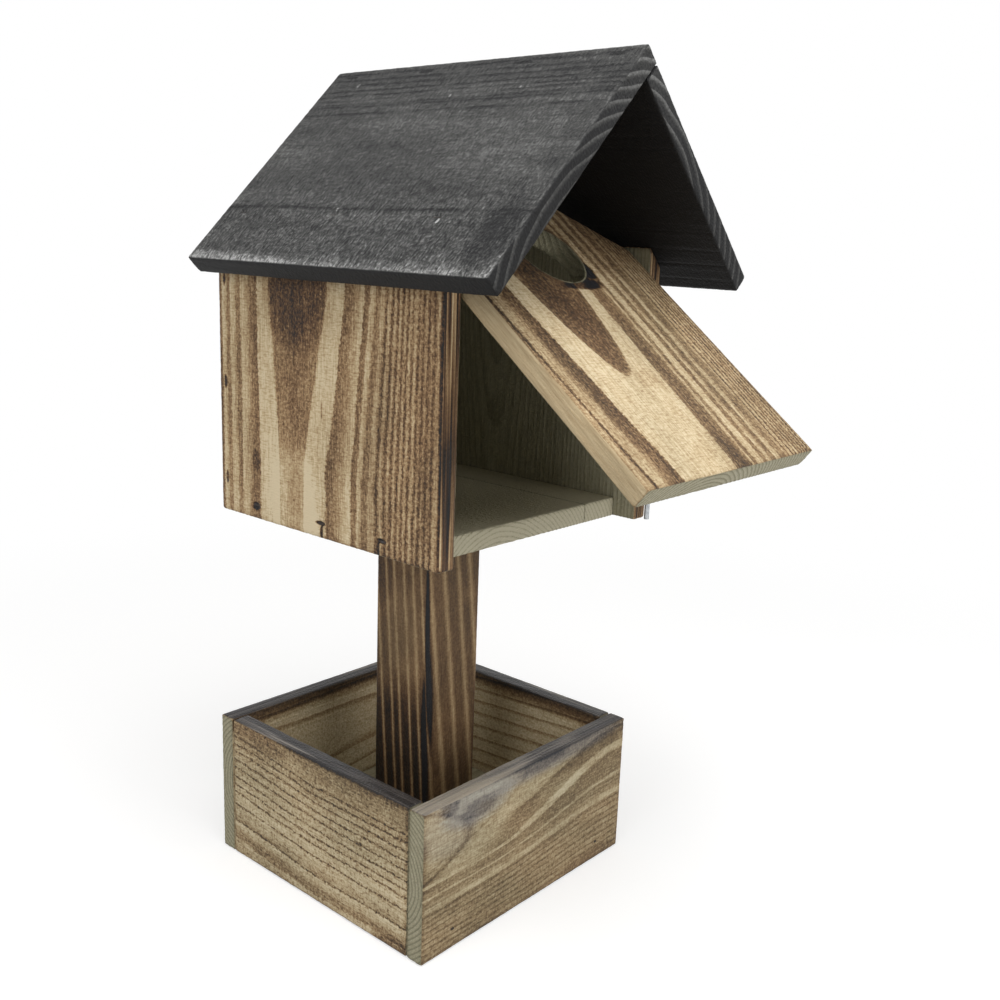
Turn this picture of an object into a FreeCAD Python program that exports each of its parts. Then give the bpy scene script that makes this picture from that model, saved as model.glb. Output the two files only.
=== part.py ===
import FreeCAD, Part
import os
import Sketcher

# Bird table: a small gabled house on a post that stands in a planter box.
# Everything is cut from charred, brushed softwood boards, nailed and stapled together.
# Millimetres, +Z up. The origin is the middle of the box's underside, on the post's axis.
# The house's open front faces -Y. Its front board is a flap that swings on two nails.

V = FreeCAD.Vector
doc = FreeCAD.newDocument("bird_table")
sheet = doc.addObject("Spreadsheet::Sheet", "Sizes")

# Driving dimensions, in millimetres and degrees

SIZES = [
    ("planter_width", 180.0, "planter box, outside, along X"),
    ("planter_depth", 180.0, "planter box, outside, along Y"),
    ("planter_height", 90.0, "height of the planter's wall boards"),
    ("planter_board", 12.0, "thickness of the wall boards"),
    ("slat_board", 12.0, "thickness of the floor slats"),
    ("slat_lift", 6.0, "air under the floor slats"),
    ("middle_slat_width", 60.0, "the slat that carries the post"),
    ("drain_gap", 6.0, "gap between two slats"),
    ("post_side", 45.0, "square section of the post"),
    ("post_length", 204.5, "post, from the middle slat to the house floor"),
    ("post_arris", 2.0, "rounding of the post's long edges"),
    ("house_width", 179.0, "across the outer faces of the side panels"),
    ("house_depth", 180.0, "front to back of the side panels"),
    ("house_forward", 5.0, "house centre in front of the post's axis"),
    ("panel_board", 12.0, "thickness of the side panels"),
    ("panel_height", 149.0, "height of a side panel's outer face"),
    ("house_floor_board", 12.0, "thickness of the house floor"),
    ("back_board", 12.0, "thickness of the back panel"),
    ("flap_board", 12.0, "thickness of the front flap"),
    ("flap_side_gap", 1.0, "play between the flap and a side panel"),
    ("flap_roof_gap", 2.0, "play under the roof, measured upright"),
    ("flap_floor_gap", 3.0, "gap from the closed flap to the floor's edge"),
    ("flap_open", 52.0, "angle that the flap stands open at rest"),
    ("pivot_drop", 5.0, "pivot nails below the side panels' outer top edge"),
    ("entrance_bore", 45.0, "round entrance in the flap"),
    ("entrance_rise", 12.0, "its centre above the pivot nails"),
    ("roof_board", 12.0, "thickness of the roof boards"),
    ("roof_pitch", 45.0, "slope of the roof, in degrees"),
    ("left_roof_slope", 155.2, "ridge to eave, over the left board"),
    ("right_roof_slope", 155.2, "ridge to eave, over the right board"),
    ("roof_overhang", 44.0, "roof in front of the house's front"),
    ("arris", 1.2, "rounding of the exposed board edges"),
    ("pivot_nail", 2.4, "shank of a pivot nail"),
    ("pivot_nail_length", 38.0, "its length under the head"),
    ("pivot_nail_head", 5.5, "its head"),
    ("pivot_nail_cap", 1.2, "thickness of its head"),
    ("pivot_clearance", 0.05, "radial play of the flap on a nail"),
    ("pivot_bite", 0.05, "how much smaller the panel's hole is, radially"),
    ("bore_end_play", 2.0, "free depth past the tip in a blind bore"),
    ("hook_wire", 3.0, "wire of the turn hook"),
    ("hook_shank", 20.0, "parallel shank in the panel's edge"),
    ("hook_tip", 4.0, "pointed end of the shank"),
    ("hook_leg", 14.0, "from the shank's axis to the leg's end"),
    ("hook_standoff", 5.0, "leg's axis in front of the panel's edge"),
    ("hook_bend", 2.5, "bend radius on the wire's axis"),
    ("hook_height", 15.0, "shank above the house's underside"),
    ("hook_clearance", 0.05, "radial play of the shank in its bore"),
    ("screw_shank", 4.5, "wood screws at both ends of the post"),
    ("screw_head", 9.0, "countersunk head"),
    ("screw_length", 50.0, "overall length"),
    ("screw_recess", 4.6, "arms of the cross recess"),
    ("screw_recess_slot", 1.2, "width of an arm"),
    ("screw_recess_depth", 2.0, "depth of the recess"),
    ("screw_spacing", 22.0, "between the two screws of a pair"),
    ("screw_play", 0.25, "radial play in the boards' screw holes"),
    ("screw_pilot", 3.2, "pilot holes in the post"),
    ("brad_width", 1.3, "strip brads, across the wider side of the shank"),
    ("brad_thickness", 1.1, "thickness of shank and head"),
    ("brad_head", 2.2, "width of the head"),
    ("brad_cap", 0.8, "thickness of a head"),
    ("brad_length", 30.0, "overall length"),
    ("brad_point", 2.0, "chisel point"),
    ("brad_sink", 0.3, "head below the wood's face"),
    ("pit_play", 0.2, "play of a pit round a brad's head, each side"),
    ("low_brad", 20.0, "lower corner brads above the ground"),
    ("top_brad_drop", 13.0, "upper corner brads below the rim"),
    ("slat_brad_inset", 24.5, "front slat's brads from the box's corners"),
    ("back_brad_first", 18.0, "lowest back brad above the house's underside"),
    ("back_brad_step", 58.0, "between two back brads"),
    ("staple_crown", 6.2, "outside width of a staple"),
    ("staple_wire", 1.2, "section of its wire"),
    ("staple_leg", 25.0, "length of its legs, crown included"),
    ("staple_sink", 1.0, "crown below the wood's face"),
    ("slot_play", 0.3, "play of a slot round a crown, each side"),
    ("ridge_staple_inset", 6.0, "ridge staples below the ridge, along the slope"),
    ("floor_staple_height", 8.0, "floor staples above the house's underside"),
]
for row, (name, value, note) in enumerate(SIZES, start=1):
    sheet.set(f"A{row}", name)
    sheet.set(f"B{row}", str(value))
    sheet.set(f"C{row}", note)
    sheet.setAlias(f"B{row}", name)
doc.recompute()

# Where hand-driven staples sit, as shares of the board's length from its front end

RIDGE_STAPLES = (0.08, 0.32, 0.63, 0.93)
ROOF_STAPLES = (0.25, 0.58, 0.92)
FLOOR_STAPLES = (0.23, 0.50, 0.82)
BACK_BRADS = 3

# Cone of a countersunk head in degrees, and how near two places count as the same one

COUNTERSINK_CONE = 90
SAME_PLACE = 0.01

# Sizes that follow from the driving ones, as expressions of the sheet


def sized(text):
    """Turn the names of sizes in an expression into references to the sheet."""
    for name in sorted((entry[0] for entry in SIZES), key=len, reverse=True):
        text = text.replace("@" + name, "Sizes." + name)
    return text


SLAT_TOP = sized("(@slat_lift + @slat_board)")
HOUSE_BOTTOM = sized(f"({SLAT_TOP} + @post_length)")
HOUSE_FRONT = sized("(-@house_forward - @house_depth / 2)")
HOUSE_BACK = sized("(-@house_forward + @house_depth / 2)")
ROOM_WIDTH = sized("(@house_width - 2 * @panel_board)")
PANEL_MIDDLE = sized("(@house_width / 2 - @panel_board / 2)")
ROOF_LENGTH = sized("(@house_depth + @roof_overhang)")
ROOF_MIDDLE = sized("(-@house_forward - @roof_overhang / 2)")
APEX = sized(
    f"({HOUSE_BOTTOM} + @panel_height + @house_width / 2 * tan(@roof_pitch)"
    " + @roof_board / cos(@roof_pitch))"
)
FLOOR_FRONT = sized(f"({HOUSE_FRONT} + @flap_board + @flap_floor_gap)")
PIVOT_Y = sized(f"({HOUSE_FRONT} + @flap_board / 2)")
PIVOT_HEIGHT = sized("(@panel_height - @pivot_drop)")
PIVOT_Z = sized(f"({HOUSE_BOTTOM} + {PIVOT_HEIGHT})")
HOOK_Z = sized(f"({HOUSE_BOTTOM} + @hook_height)")


def under_roof(half_width):
    """Height of the roof's underside above the house's underside, at a distance from the middle."""
    return sized(f"(@panel_height + (@house_width / 2 - {half_width}) * tan(@roof_pitch))")


def number(expression):
    """Value of an expression of the sheet."""
    value = sheet.evalExpression(sized(str(expression)))
    return float(getattr(value, "Value", value))


# Bodies, sketches and features


def new_body(label):
    body = doc.addObject("PartDesign::Body", label)
    body.Label = label
    return body


def place(piece, x="0", y="0", z="0", axis=(0, 0, 1), angle="0"):
    """Set a piece in the object's frame; each value is an expression of the sheet."""
    turn = FreeCAD.Rotation(V(*axis), 1)
    piece.Placement = FreeCAD.Placement(V(0, 0, 0), turn)
    piece.setExpression("Placement.Base.x", sized(x))
    piece.setExpression("Placement.Base.y", sized(y))
    piece.setExpression("Placement.Base.z", sized(z))
    piece.setExpression("Placement.Rotation.Angle", sized(angle))


def sketch_on(body, name, role, x="0", y="0", z="0", axis=None, angle="0"):
    """New sketch on one of the body's own origin planes, moved and turned within it."""
    plane = next(f for f in body.Origin.OriginFeatures if f.Role == role)
    sketch = body.newObject("Sketcher::SketchObject", name)
    sketch.AttachmentSupport = (plane, [""])
    sketch.MapMode = "FlatFace"
    if axis:
        sketch.AttachmentOffset = FreeCAD.Placement(V(0, 0, 0), FreeCAD.Rotation(V(*axis), 1))
        sketch.setExpression("AttachmentOffset.Rotation.Angle", sized(angle))
    sketch.setExpression("AttachmentOffset.Base.x", sized(x))
    sketch.setExpression("AttachmentOffset.Base.y", sized(y))
    sketch.setExpression("AttachmentOffset.Base.z", sized(z))
    return sketch


def dimension(sketch, kind, expression, *where):
    """Add a dimensional constraint that follows an expression of the sheet."""
    index = sketch.addConstraint(Sketcher.Constraint(kind, *where, number(expression)))
    sketch.setExpression(f"Constraints[{index}]", sized(str(expression)))


def outline(sketch, corners):
    """Closed outline of straight lines through corners given as pairs of expressions."""
    points = [V(number(x), number(y), 0) for x, y in corners]
    first = sketch.GeometryCount
    count = len(points)
    for i in range(count):
        sketch.addGeometry(Part.LineSegment(points[i], points[(i + 1) % count]))
    for i in range(count):
        sketch.addConstraint(
            Sketcher.Constraint("Coincident", first + i, 2, first + (i + 1) % count, 1))
    for i, (x, y) in enumerate(corners):
        dimension(sketch, "DistanceX", x, -1, 1, first + i, 1)
        dimension(sketch, "DistanceY", y, -1, 1, first + i, 1)


def rectangle(sketch, x, y, width, height):
    """Rectangle centred on (x, y)."""
    left = number(x) - number(width) / 2
    right = number(x) + number(width) / 2
    low = number(y) - number(height) / 2
    top = number(y) + number(height) / 2
    corners = [V(left, low, 0), V(right, low, 0), V(right, top, 0), V(left, top, 0)]
    first = sketch.GeometryCount
    for i in range(4):
        sketch.addGeometry(Part.LineSegment(corners[i], corners[(i + 1) % 4]))
    for i in range(4):
        sketch.addConstraint(
            Sketcher.Constraint("Coincident", first + i, 2, first + (i + 1) % 4, 1))
    for i, kind in enumerate(("Horizontal", "Vertical", "Horizontal", "Vertical")):
        sketch.addConstraint(Sketcher.Constraint(kind, first + i))
    dimension(sketch, "DistanceX", width, first, 1, first, 2)
    dimension(sketch, "DistanceY", height, first + 1, 1, first + 1, 2)
    dimension(sketch, "DistanceX", f"({x}) - ({width}) / 2", -1, 1, first, 1)
    dimension(sketch, "DistanceY", f"({y}) - ({height}) / 2", -1, 1, first, 1)


def circle(sketch, x, y, diameter):
    centre = V(number(x), number(y), 0)
    index = sketch.addGeometry(Part.Circle(centre, V(0, 0, 1), number(diameter) / 2))
    dimension(sketch, "DistanceX", x, -1, 1, index, 3)
    dimension(sketch, "DistanceY", y, -1, 1, index, 3)
    dimension(sketch, "Diameter", diameter, index)


def pad(body, sketch, length, midplane=False):
    feature = body.newObject("PartDesign::Pad", sketch.Name + "_pad")
    feature.Profile = sketch
    feature.setExpression("Length", sized(length))
    feature.Midplane = midplane
    sketch.Visibility = False
    doc.recompute()
    return feature


def pocket(body, sketch, depth=None, upwards=False):
    """Cut a sketch into the body, or right through where no depth is given, and see that it cut."""
    before = body.Shape.Volume
    feature = body.newObject("PartDesign::Pocket", sketch.Name + "_cut")
    feature.Profile = sketch
    feature.Reversed = upwards
    if depth is None:
        feature.Type = "ThroughAll"
    else:
        feature.setExpression("Length", sized(depth))
    doc.recompute()
    if not body.Shape.Volume < before:
        raise RuntimeError(f"{body.Label}: {sketch.Name} cuts nothing")
    return feature


def revolve(body, sketch):
    """Turn a profile round the sketch's upright axis."""
    feature = body.newObject("PartDesign::Revolution", sketch.Name + "_turned")
    feature.Profile = sketch
    feature.ReferenceAxis = (sketch, ["V_Axis"])
    feature.Angle = 360
    doc.recompute()
    return feature


def round_edges(body, radius, exposed=lambda middle, along: True):
    """Round the straight edges of the last feature that a test on middle and direction picks."""
    base = body.Tip
    names = []
    for i, edge in enumerate(base.Shape.Edges, start=1):
        straight = edge.Curve.TypeId == "Part::GeomLine"
        middle = edge.valueAt((edge.FirstParameter + edge.LastParameter) / 2)
        along = edge.tangentAt(edge.FirstParameter)
        if straight and exposed(middle, along):
            names.append(f"Edge{i}")
    feature = body.newObject("PartDesign::Fillet", body.Name + "_arrises")
    feature.Base = (base, names)
    feature.setExpression("Radius", sized(radius))
    doc.recompute()
    return feature


def near(a, b):
    return abs(a - b) < SAME_PLACE


# What nails, staples and screws leave in the wood


PIT_WIDTH = sized("(@brad_head + 2 * @pit_play)")
PIT_THICKNESS = sized("(@brad_thickness + 2 * @pit_play)")
PIT_DEPTH = sized("(@brad_cap + @brad_sink)")
SLOT_LENGTH = sized("(@staple_crown + 2 * @slot_play)")
SLOT_WIDTH = sized("(@staple_wire + 2 * @slot_play)")
SLOT_DEPTH = sized("(@staple_sink + @staple_wire)")


def brad_pits(body, role, places, upright, upwards=False):
    """Pits for sunk brad heads, in a face that lies on an origin plane; upright heads stand on end."""
    sketch = sketch_on(body, body.Name + "_pits", role)
    size = (PIT_THICKNESS, PIT_WIDTH) if upright else (PIT_WIDTH, PIT_THICKNESS)
    for x, y in places:
        rectangle(sketch, x, y, *size)
    pocket(body, sketch, PIT_DEPTH, upwards)


def screw_holes(body, places, thickness):
    """Clearance holes through a board, countersunk from its upper face."""
    sketch = sketch_on(body, body.Name + "_screws", "XY_Plane", z=thickness)
    for x, y in places:
        circle(sketch, x, y, "@screw_shank + 2 * @screw_play")
    before = body.Shape.Volume
    hole = body.newObject("PartDesign::Hole", body.Name + "_screw_holes")
    hole.Profile = sketch
    doc.recompute()
    hole.setExpression("Diameter", sized("@screw_shank + 2 * @screw_play"))
    hole.DepthType = "ThroughAll"
    hole.HoleCutType = "Countersink"
    hole.setExpression("HoleCutDiameter", sized("@screw_head + 2 * @screw_play"))
    hole.HoleCutCountersinkAngle = COUNTERSINK_CONE
    doc.recompute()
    if not body.Shape.Volume < before:
        raise RuntimeError(f"{body.Label}: the screw holes cut nothing")


# Planter box: front and back boards cover the ends of the side boards


def planter_board(label, length, covers_ends):
    """Wall board lying along X, outer face at y = 0, with the brads' pits in it."""
    body = new_body(label)
    sketch = sketch_on(body, label + "_foot", "XY_Plane")
    rectangle(sketch, "0", "@planter_board / 2", length, "@planter_board")
    pad(body, sketch, "@planter_height")
    height = number("@planter_height")

    def exposed(middle, along):
        outer = near(middle.y, 0)
        rim = near(middle.z, height) and not near(abs(middle.x), number(length) / 2)
        upright = abs(along.z) > 0.5
        return rim or (outer and (covers_ends or not upright))

    round_edges(body, "@arris", exposed)
    return body


SIDE_LENGTH = sized("(@planter_depth - 2 * @planter_board)")
SLAT_MIDDLE = sized("(@slat_lift + @slat_board / 2)")
END_SLAT_WIDTH = sized(f"(({SIDE_LENGTH} - @middle_slat_width) / 2 - @drain_gap)")
END_SLAT_OFFSET = sized(f"({SIDE_LENGTH} / 2 - {END_SLAT_WIDTH} / 2)")
CORNER_BRAD_X = sized("(@planter_width / 2 - @planter_board / 2)")
TOP_BRAD_Z = sized("(@planter_height - @top_brad_drop)")
SLAT_BRAD_X = sized("(@planter_width / 2 - @slat_brad_inset)")

front_brads = [
    (side + height_x, height_z)
    for side in ("-", "")
    for height_x, height_z in (
        (CORNER_BRAD_X, "@low_brad"), (CORNER_BRAD_X, TOP_BRAD_Z), (SLAT_BRAD_X, SLAT_MIDDLE))
]
side_brads = [
    (side + shift, SLAT_MIDDLE)
    for side in ("-", "")
    for shift in (END_SLAT_OFFSET, "@middle_slat_width / 4")
]

WALLS = [
    ("planter_front_board", "@planter_width", True, "0", "-@planter_depth / 2", "0"),
    ("planter_back_board", "@planter_width", True, "0", "@planter_depth / 2", "180"),
    ("planter_left_board", SIDE_LENGTH, False, "-@planter_width / 2", "0", "-90"),
    ("planter_right_board", SIDE_LENGTH, False, "@planter_width / 2", "0", "90"),
]
for label, length, covers_ends, x, y, angle in WALLS:
    wall = planter_board(label, length, covers_ends)
    brad_pits(wall, "XZ_Plane", front_brads if covers_ends else side_brads, upright=not covers_ends)
    place(wall, x, y, "0", angle=angle)

SLATS = [
    ("planter_floor_front_slat", END_SLAT_WIDTH, "-" + END_SLAT_OFFSET),
    ("planter_floor_middle_slat", "@middle_slat_width", "0"),
    ("planter_floor_back_slat", END_SLAT_WIDTH, END_SLAT_OFFSET),
]
SCREW_PLACES = [("-@screw_spacing / 2", "0"), ("@screw_spacing / 2", "0")]
for label, width, y in SLATS:
    slat = new_body(label)
    sketch = sketch_on(slat, label + "_plan", "XY_Plane")
    rectangle(sketch, "0", "0", "@planter_width - 2 * @planter_board", width)
    pad(slat, sketch, "@slat_board")
    round_edges(slat, "@arris", lambda middle, along: abs(along.x) > 0.5)
    if label == "planter_floor_middle_slat":
        # the countersinks open downwards, so this slat is made upside down and turned over
        screw_holes(slat, SCREW_PLACES, "@slat_board")
        place(slat, "0", y, SLAT_TOP, axis=(1, 0, 0), angle="180")
    else:
        place(slat, "0", y, "@slat_lift")

# Post, with pilot holes for a pair of screws at each end

post = new_body("post")
section = sketch_on(post, "post_section", "XY_Plane")
rectangle(section, "0", "0", "@post_side", "@post_side")
pad(post, section, "@post_length")
round_edges(post, "@post_arris", lambda middle, along: abs(along.z) > 0.5)
foot_pilots = sketch_on(post, "foot_pilots", "XY_Plane")
for x, y in SCREW_PLACES:
    circle(foot_pilots, x, y, "@screw_pilot")
pocket(post, foot_pilots, "@screw_length - @slat_board + @bore_end_play", upwards=True)
head_pilots = sketch_on(post, "head_pilots", "XY_Plane", z="@post_length")
for x, y in SCREW_PLACES:
    circle(head_pilots, x, y, "@screw_pilot")
pocket(post, head_pilots, "@screw_length - @house_floor_board + @bore_end_play")
place(post, "0", "0", SLAT_TOP)

# House: floor, two side panels with bevelled tops, and a gabled back

house_floor = new_body("house_floor")
floor_plan = sketch_on(house_floor, "floor_plan", "XY_Plane")
FLOOR_BACK = sized(f"({HOUSE_BACK} - @back_board)")
rectangle(
    floor_plan, "0", f"({FLOOR_FRONT} + {FLOOR_BACK}) / 2", ROOM_WIDTH, f"({FLOOR_BACK} - {FLOOR_FRONT})")
pad(house_floor, floor_plan, "@house_floor_board")
round_edges(
    house_floor, "@arris",
    lambda middle, along: near(middle.y, number(FLOOR_FRONT)) and abs(along.x) > 0.5)
screw_holes(house_floor, SCREW_PLACES, "@house_floor_board")
place(house_floor, "0", "0", HOUSE_BOTTOM)


def along_house(share, front):
    """Local place along a side panel, where front is the sign of the panel's front end."""
    return sized(f"({front} * @house_depth * (0.5 - {share}))")


def side_panel(label, front):
    """Panel with its outer face at x = 0 and its top bevelled to the roof's slope."""
    body = new_body(label)
    profile = sketch_on(body, label + "_profile", "XZ_Plane")
    outline(profile, [
        ("0", "0"),
        ("@panel_board", "0"),
        ("@panel_board", under_roof("(@house_width / 2 - @panel_board)")),
        ("0", "@panel_height"),
    ])
    pad(body, profile, "@house_depth", midplane=True)
    outer_top = number("@panel_height")
    round_edges(
        body, "@arris",
        lambda middle, along: middle.z < outer_top and abs(along.x) < 0.5)

    pits = [
        (f"{-front} * (@house_depth / 2 - @back_board / 2)", f"@back_brad_first + {i} * @back_brad_step")
        for i in range(BACK_BRADS)
    ]
    brad_pits(body, "YZ_Plane", pits, upright=True, upwards=True)

    slots = sketch_on(body, label + "_slots", "YZ_Plane")
    for share in FLOOR_STAPLES:
        rectangle(slots, along_house(share, front), "@floor_staple_height", SLOT_LENGTH, SLOT_WIDTH)
    pocket(body, slots, SLOT_DEPTH, upwards=True)

    nail = sketch_on(body, label + "_nail", "YZ_Plane")
    circle(nail, f"{front} * (@house_depth / 2 - @flap_board / 2)", PIVOT_HEIGHT,
           "@pivot_nail - 2 * @pivot_bite")
    pocket(body, nail, upwards=True)
    return body


left_side_panel = side_panel("left_side_panel", front=-1)
place(left_side_panel, "-@house_width / 2", "-@house_forward", HOUSE_BOTTOM)

right_side_panel = side_panel("right_side_panel", front=1)
hook_bore = sketch_on(right_side_panel, "hook_bore", "XZ_Plane", z="-@house_depth / 2")
circle(hook_bore, "@panel_board / 2", "@hook_height", "@hook_wire + 2 * @hook_clearance")
pocket(right_side_panel, hook_bore, "@hook_shank + @hook_tip + @bore_end_play", upwards=True)
place(right_side_panel, "@house_width / 2", "-@house_forward", HOUSE_BOTTOM, angle="180")


def gable(sketch, half_width, bottom, rise, roof_gap):
    """Gabled outline under the roof; bottom and rise are measured from the sketch's origin."""
    shoulder = f"({under_roof(half_width)} - {roof_gap} - {rise})"
    peak = f"({under_roof('0')} - {roof_gap} - {rise})"
    outline(sketch, [
        (f"-{half_width}", bottom), (half_width, bottom), (half_width, shoulder), ("0", peak),
        (f"-{half_width}", shoulder)])


back_panel = new_body("back_panel")
back_profile = sketch_on(back_panel, "back_profile", "XZ_Plane")
gable(back_profile, f"({ROOM_WIDTH} / 2)", "0", "0", "0")
pad(back_panel, back_profile, "@back_board")
round_edges(back_panel, "@arris", lambda middle, along: near(middle.z, 0) and abs(along.x) > 0.5)
place(back_panel, "0", HOUSE_BACK, HOUSE_BOTTOM)

# Front flap, made round its pivot axis and set open on it

front_flap = new_body("front_flap")
FLAP_HALF = sized(f"({ROOM_WIDTH} / 2 - @flap_side_gap)")
flap_profile = sketch_on(front_flap, "flap_profile", "XZ_Plane")
gable(flap_profile, FLAP_HALF, "-" + PIVOT_HEIGHT, PIVOT_HEIGHT, "@flap_roof_gap")
circle(flap_profile, "0", "@entrance_rise", "@entrance_bore")
pad(front_flap, flap_profile, "@flap_board", midplane=True)
round_edges(front_flap, "@arris", lambda middle, along: abs(along.y) < 0.5)
FLAP_BORE = sized("@pivot_nail_length - @panel_board - @flap_side_gap + @bore_end_play")
for label, edge, inwards in (("left_bore", "-" + FLAP_HALF, True), ("right_bore", FLAP_HALF, False)):
    bore = sketch_on(front_flap, label, "YZ_Plane", z=edge)
    circle(bore, "0", "0", "@pivot_nail + 2 * @pivot_clearance")
    pocket(front_flap, bore, FLAP_BORE, upwards=inwards)
place(front_flap, "0", PIVOT_Y, PIVOT_Z, axis=(1, 0, 0), angle="-@flap_open")


def pivot_nail(label, x, angle):
    """Round-headed nail, driven through a side panel into the flap's edge."""
    body = new_body(label)
    profile = sketch_on(body, label + "_profile", "XZ_Plane")
    outline(profile, [
        ("0", "@pivot_nail_cap"),
        ("@pivot_nail_head / 2", "@pivot_nail_cap"),
        ("@pivot_nail_head / 2", "0"),
        ("@pivot_nail / 2", "0"),
        ("@pivot_nail / 2", "-@pivot_nail_length + @pivot_nail"),
        ("0", "-@pivot_nail_length"),
    ])
    revolve(body, profile)
    place(body, x, PIVOT_Y, PIVOT_Z, axis=(0, 1, 0), angle=angle)


pivot_nail("left_pivot_nail", "-@house_width / 2", "-90")
pivot_nail("right_pivot_nail", "@house_width / 2", "90")

# Turn hook: a bent wire screwed into the right panel's front edge, hanging down at rest

turn_hook = new_body("turn_hook")
hook_path = sketch_on(turn_hook, "hook_path", "YZ_Plane")
shank = number("@hook_shank")
standoff = number("@hook_standoff")
bend = number("@hook_bend")
leg = number("@hook_leg")
hook_path.addGeometry(Part.LineSegment(V(shank, 0, 0), V(bend - standoff, 0, 0)))
bend_centre = V(bend - standoff, -bend, 0)
half_turn = FreeCAD.Units.Quantity("180 deg").getValueAs("rad").Value
hook_path.addGeometry(
    Part.ArcOfCircle(Part.Circle(bend_centre, V(0, 0, 1), bend), half_turn / 2, half_turn))
hook_path.addGeometry(Part.LineSegment(V(-standoff, -bend, 0), V(-standoff, -leg, 0)))
hook_path.addConstraint(Sketcher.Constraint("PointOnObject", 0, 1, -1))
hook_path.addConstraint(Sketcher.Constraint("Horizontal", 0))
hook_path.addConstraint(Sketcher.Constraint("Tangent", 0, 2, 1, 1))
hook_path.addConstraint(Sketcher.Constraint("Tangent", 1, 2, 2, 1))
hook_path.addConstraint(Sketcher.Constraint("Vertical", 2))
dimension(hook_path, "DistanceX", "@hook_shank", -1, 1, 0, 1)
dimension(hook_path, "Radius", "@hook_bend", 1)
dimension(hook_path, "DistanceX", "-@hook_standoff", -1, 1, 2, 2)
dimension(hook_path, "DistanceY", "-@hook_leg", -1, 1, 2, 2)
wire_section = sketch_on(turn_hook, "wire_section", "XZ_Plane", z="-@hook_shank")
circle(wire_section, "0", "0", "@hook_wire")
doc.recompute()
wire = turn_hook.newObject("PartDesign::AdditivePipe", "bent_wire")
wire.Profile = wire_section
wire.Spine = (hook_path, ["Edge1", "Edge2", "Edge3"])
doc.recompute()
tip_profile = sketch_on(turn_hook, "tip_profile", "YZ_Plane")
outline(tip_profile, [
    ("@hook_shank", "0"), ("@hook_shank + @hook_tip", "0"), ("@hook_shank", "@hook_wire / 2")])
tip = turn_hook.newObject("PartDesign::Revolution", "pointed_tip")
tip.Profile = tip_profile
tip.ReferenceAxis = (tip_profile, ["H_Axis"])
tip.Angle = 360
doc.recompute()
place(turn_hook, PANEL_MIDDLE, HOUSE_FRONT, HOOK_Z)

# Roof: the left board laps over the right board's upper edge at the ridge


def roof_place(share):
    """Local place along a roof board, from its front end."""
    return sized(f"({ROOF_LENGTH} * ({share} - 0.5))")


def roof_slots(body, name, side):
    """Upright slots for the staples that run down into a side panel's bevelled top."""
    seat = f"{PANEL_MIDDLE} / cos(@roof_pitch)"
    slots = sketch_on(
        body, name, "XY_Plane",
        x=f"{side} * ({seat} + {SLOT_DEPTH} * sin(@roof_pitch))", z=f"-{SLOT_DEPTH} * cos(@roof_pitch)",
        axis=(0, 1, 0), angle=f"{-side} * @roof_pitch")
    for share in ROOF_STAPLES:
        rectangle(slots, "0", roof_place(share), SLOT_WIDTH, SLOT_LENGTH)
    pocket(body, slots, upwards=True)


left_roof_board = new_body("left_roof_board")
left_slope = sketch_on(left_roof_board, "left_slope", "XZ_Plane")
outline(left_slope, [
    ("0", "0"), ("-@left_roof_slope", "0"), ("-@left_roof_slope", "-@roof_board"), ("0", "-@roof_board")])
pad(left_roof_board, left_slope, ROOF_LENGTH, midplane=True)
round_edges(
    left_roof_board, "@arris",
    lambda middle, along: abs(along.z) < 0.5 and (middle.x < 0 or near(middle.z, 0)))
ridge_slots = sketch_on(left_roof_board, "ridge_slots", "XY_Plane")
for share in RIDGE_STAPLES:
    rectangle(ridge_slots, "-@ridge_staple_inset", roof_place(share), SLOT_WIDTH, SLOT_LENGTH)
pocket(left_roof_board, ridge_slots, SLOT_DEPTH)
roof_slots(left_roof_board, "left_panel_slots", -1)
place(left_roof_board, "0", ROOF_MIDDLE, APEX, axis=(0, 1, 0), angle="-@roof_pitch")

right_roof_board = new_body("right_roof_board")
right_slope = sketch_on(right_roof_board, "right_slope", "XZ_Plane")
BUTT_TOP = sized("(@roof_board / sin(2 * @roof_pitch))")
BUTT_LOW = sized("(@roof_board * tan(@roof_pitch))")
outline(right_slope, [
    (BUTT_TOP, "0"), ("@right_roof_slope", "0"), ("@right_roof_slope", "-@roof_board"),
    (BUTT_LOW, "-@roof_board")])
pad(right_roof_board, right_slope, ROOF_LENGTH, midplane=True)
butt_end = max(number(BUTT_TOP), number(BUTT_LOW))
round_edges(
    right_roof_board, "@arris",
    lambda middle, along: abs(along.z) < 0.5 and middle.x > butt_end + SAME_PLACE)
roof_slots(right_roof_board, "right_panel_slots", 1)
place(right_roof_board, "0", ROOF_MIDDLE, APEX, axis=(0, 1, 0), angle="@roof_pitch")

# Fasteners: one master of each kind, head upwards at its origin, and linked copies


brad = new_body("brad_master")
brad_shape = sketch_on(brad, "brad_shape", "XZ_Plane")
HEAD = "@brad_head / 2"
SHANK = "@brad_width / 2"
SHOULDER = "-@brad_length + @brad_point"
outline(brad_shape, [
    ("-" + HEAD, "0"), (HEAD, "0"), (HEAD, "-@brad_cap"), (SHANK, "-@brad_cap"), (SHANK, SHOULDER),
    ("0", "-@brad_length"), ("-" + SHANK, SHOULDER), ("-" + SHANK, "-@brad_cap"),
    ("-" + HEAD, "-@brad_cap")])
pad(brad, brad_shape, "@brad_thickness", midplane=True)

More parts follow.
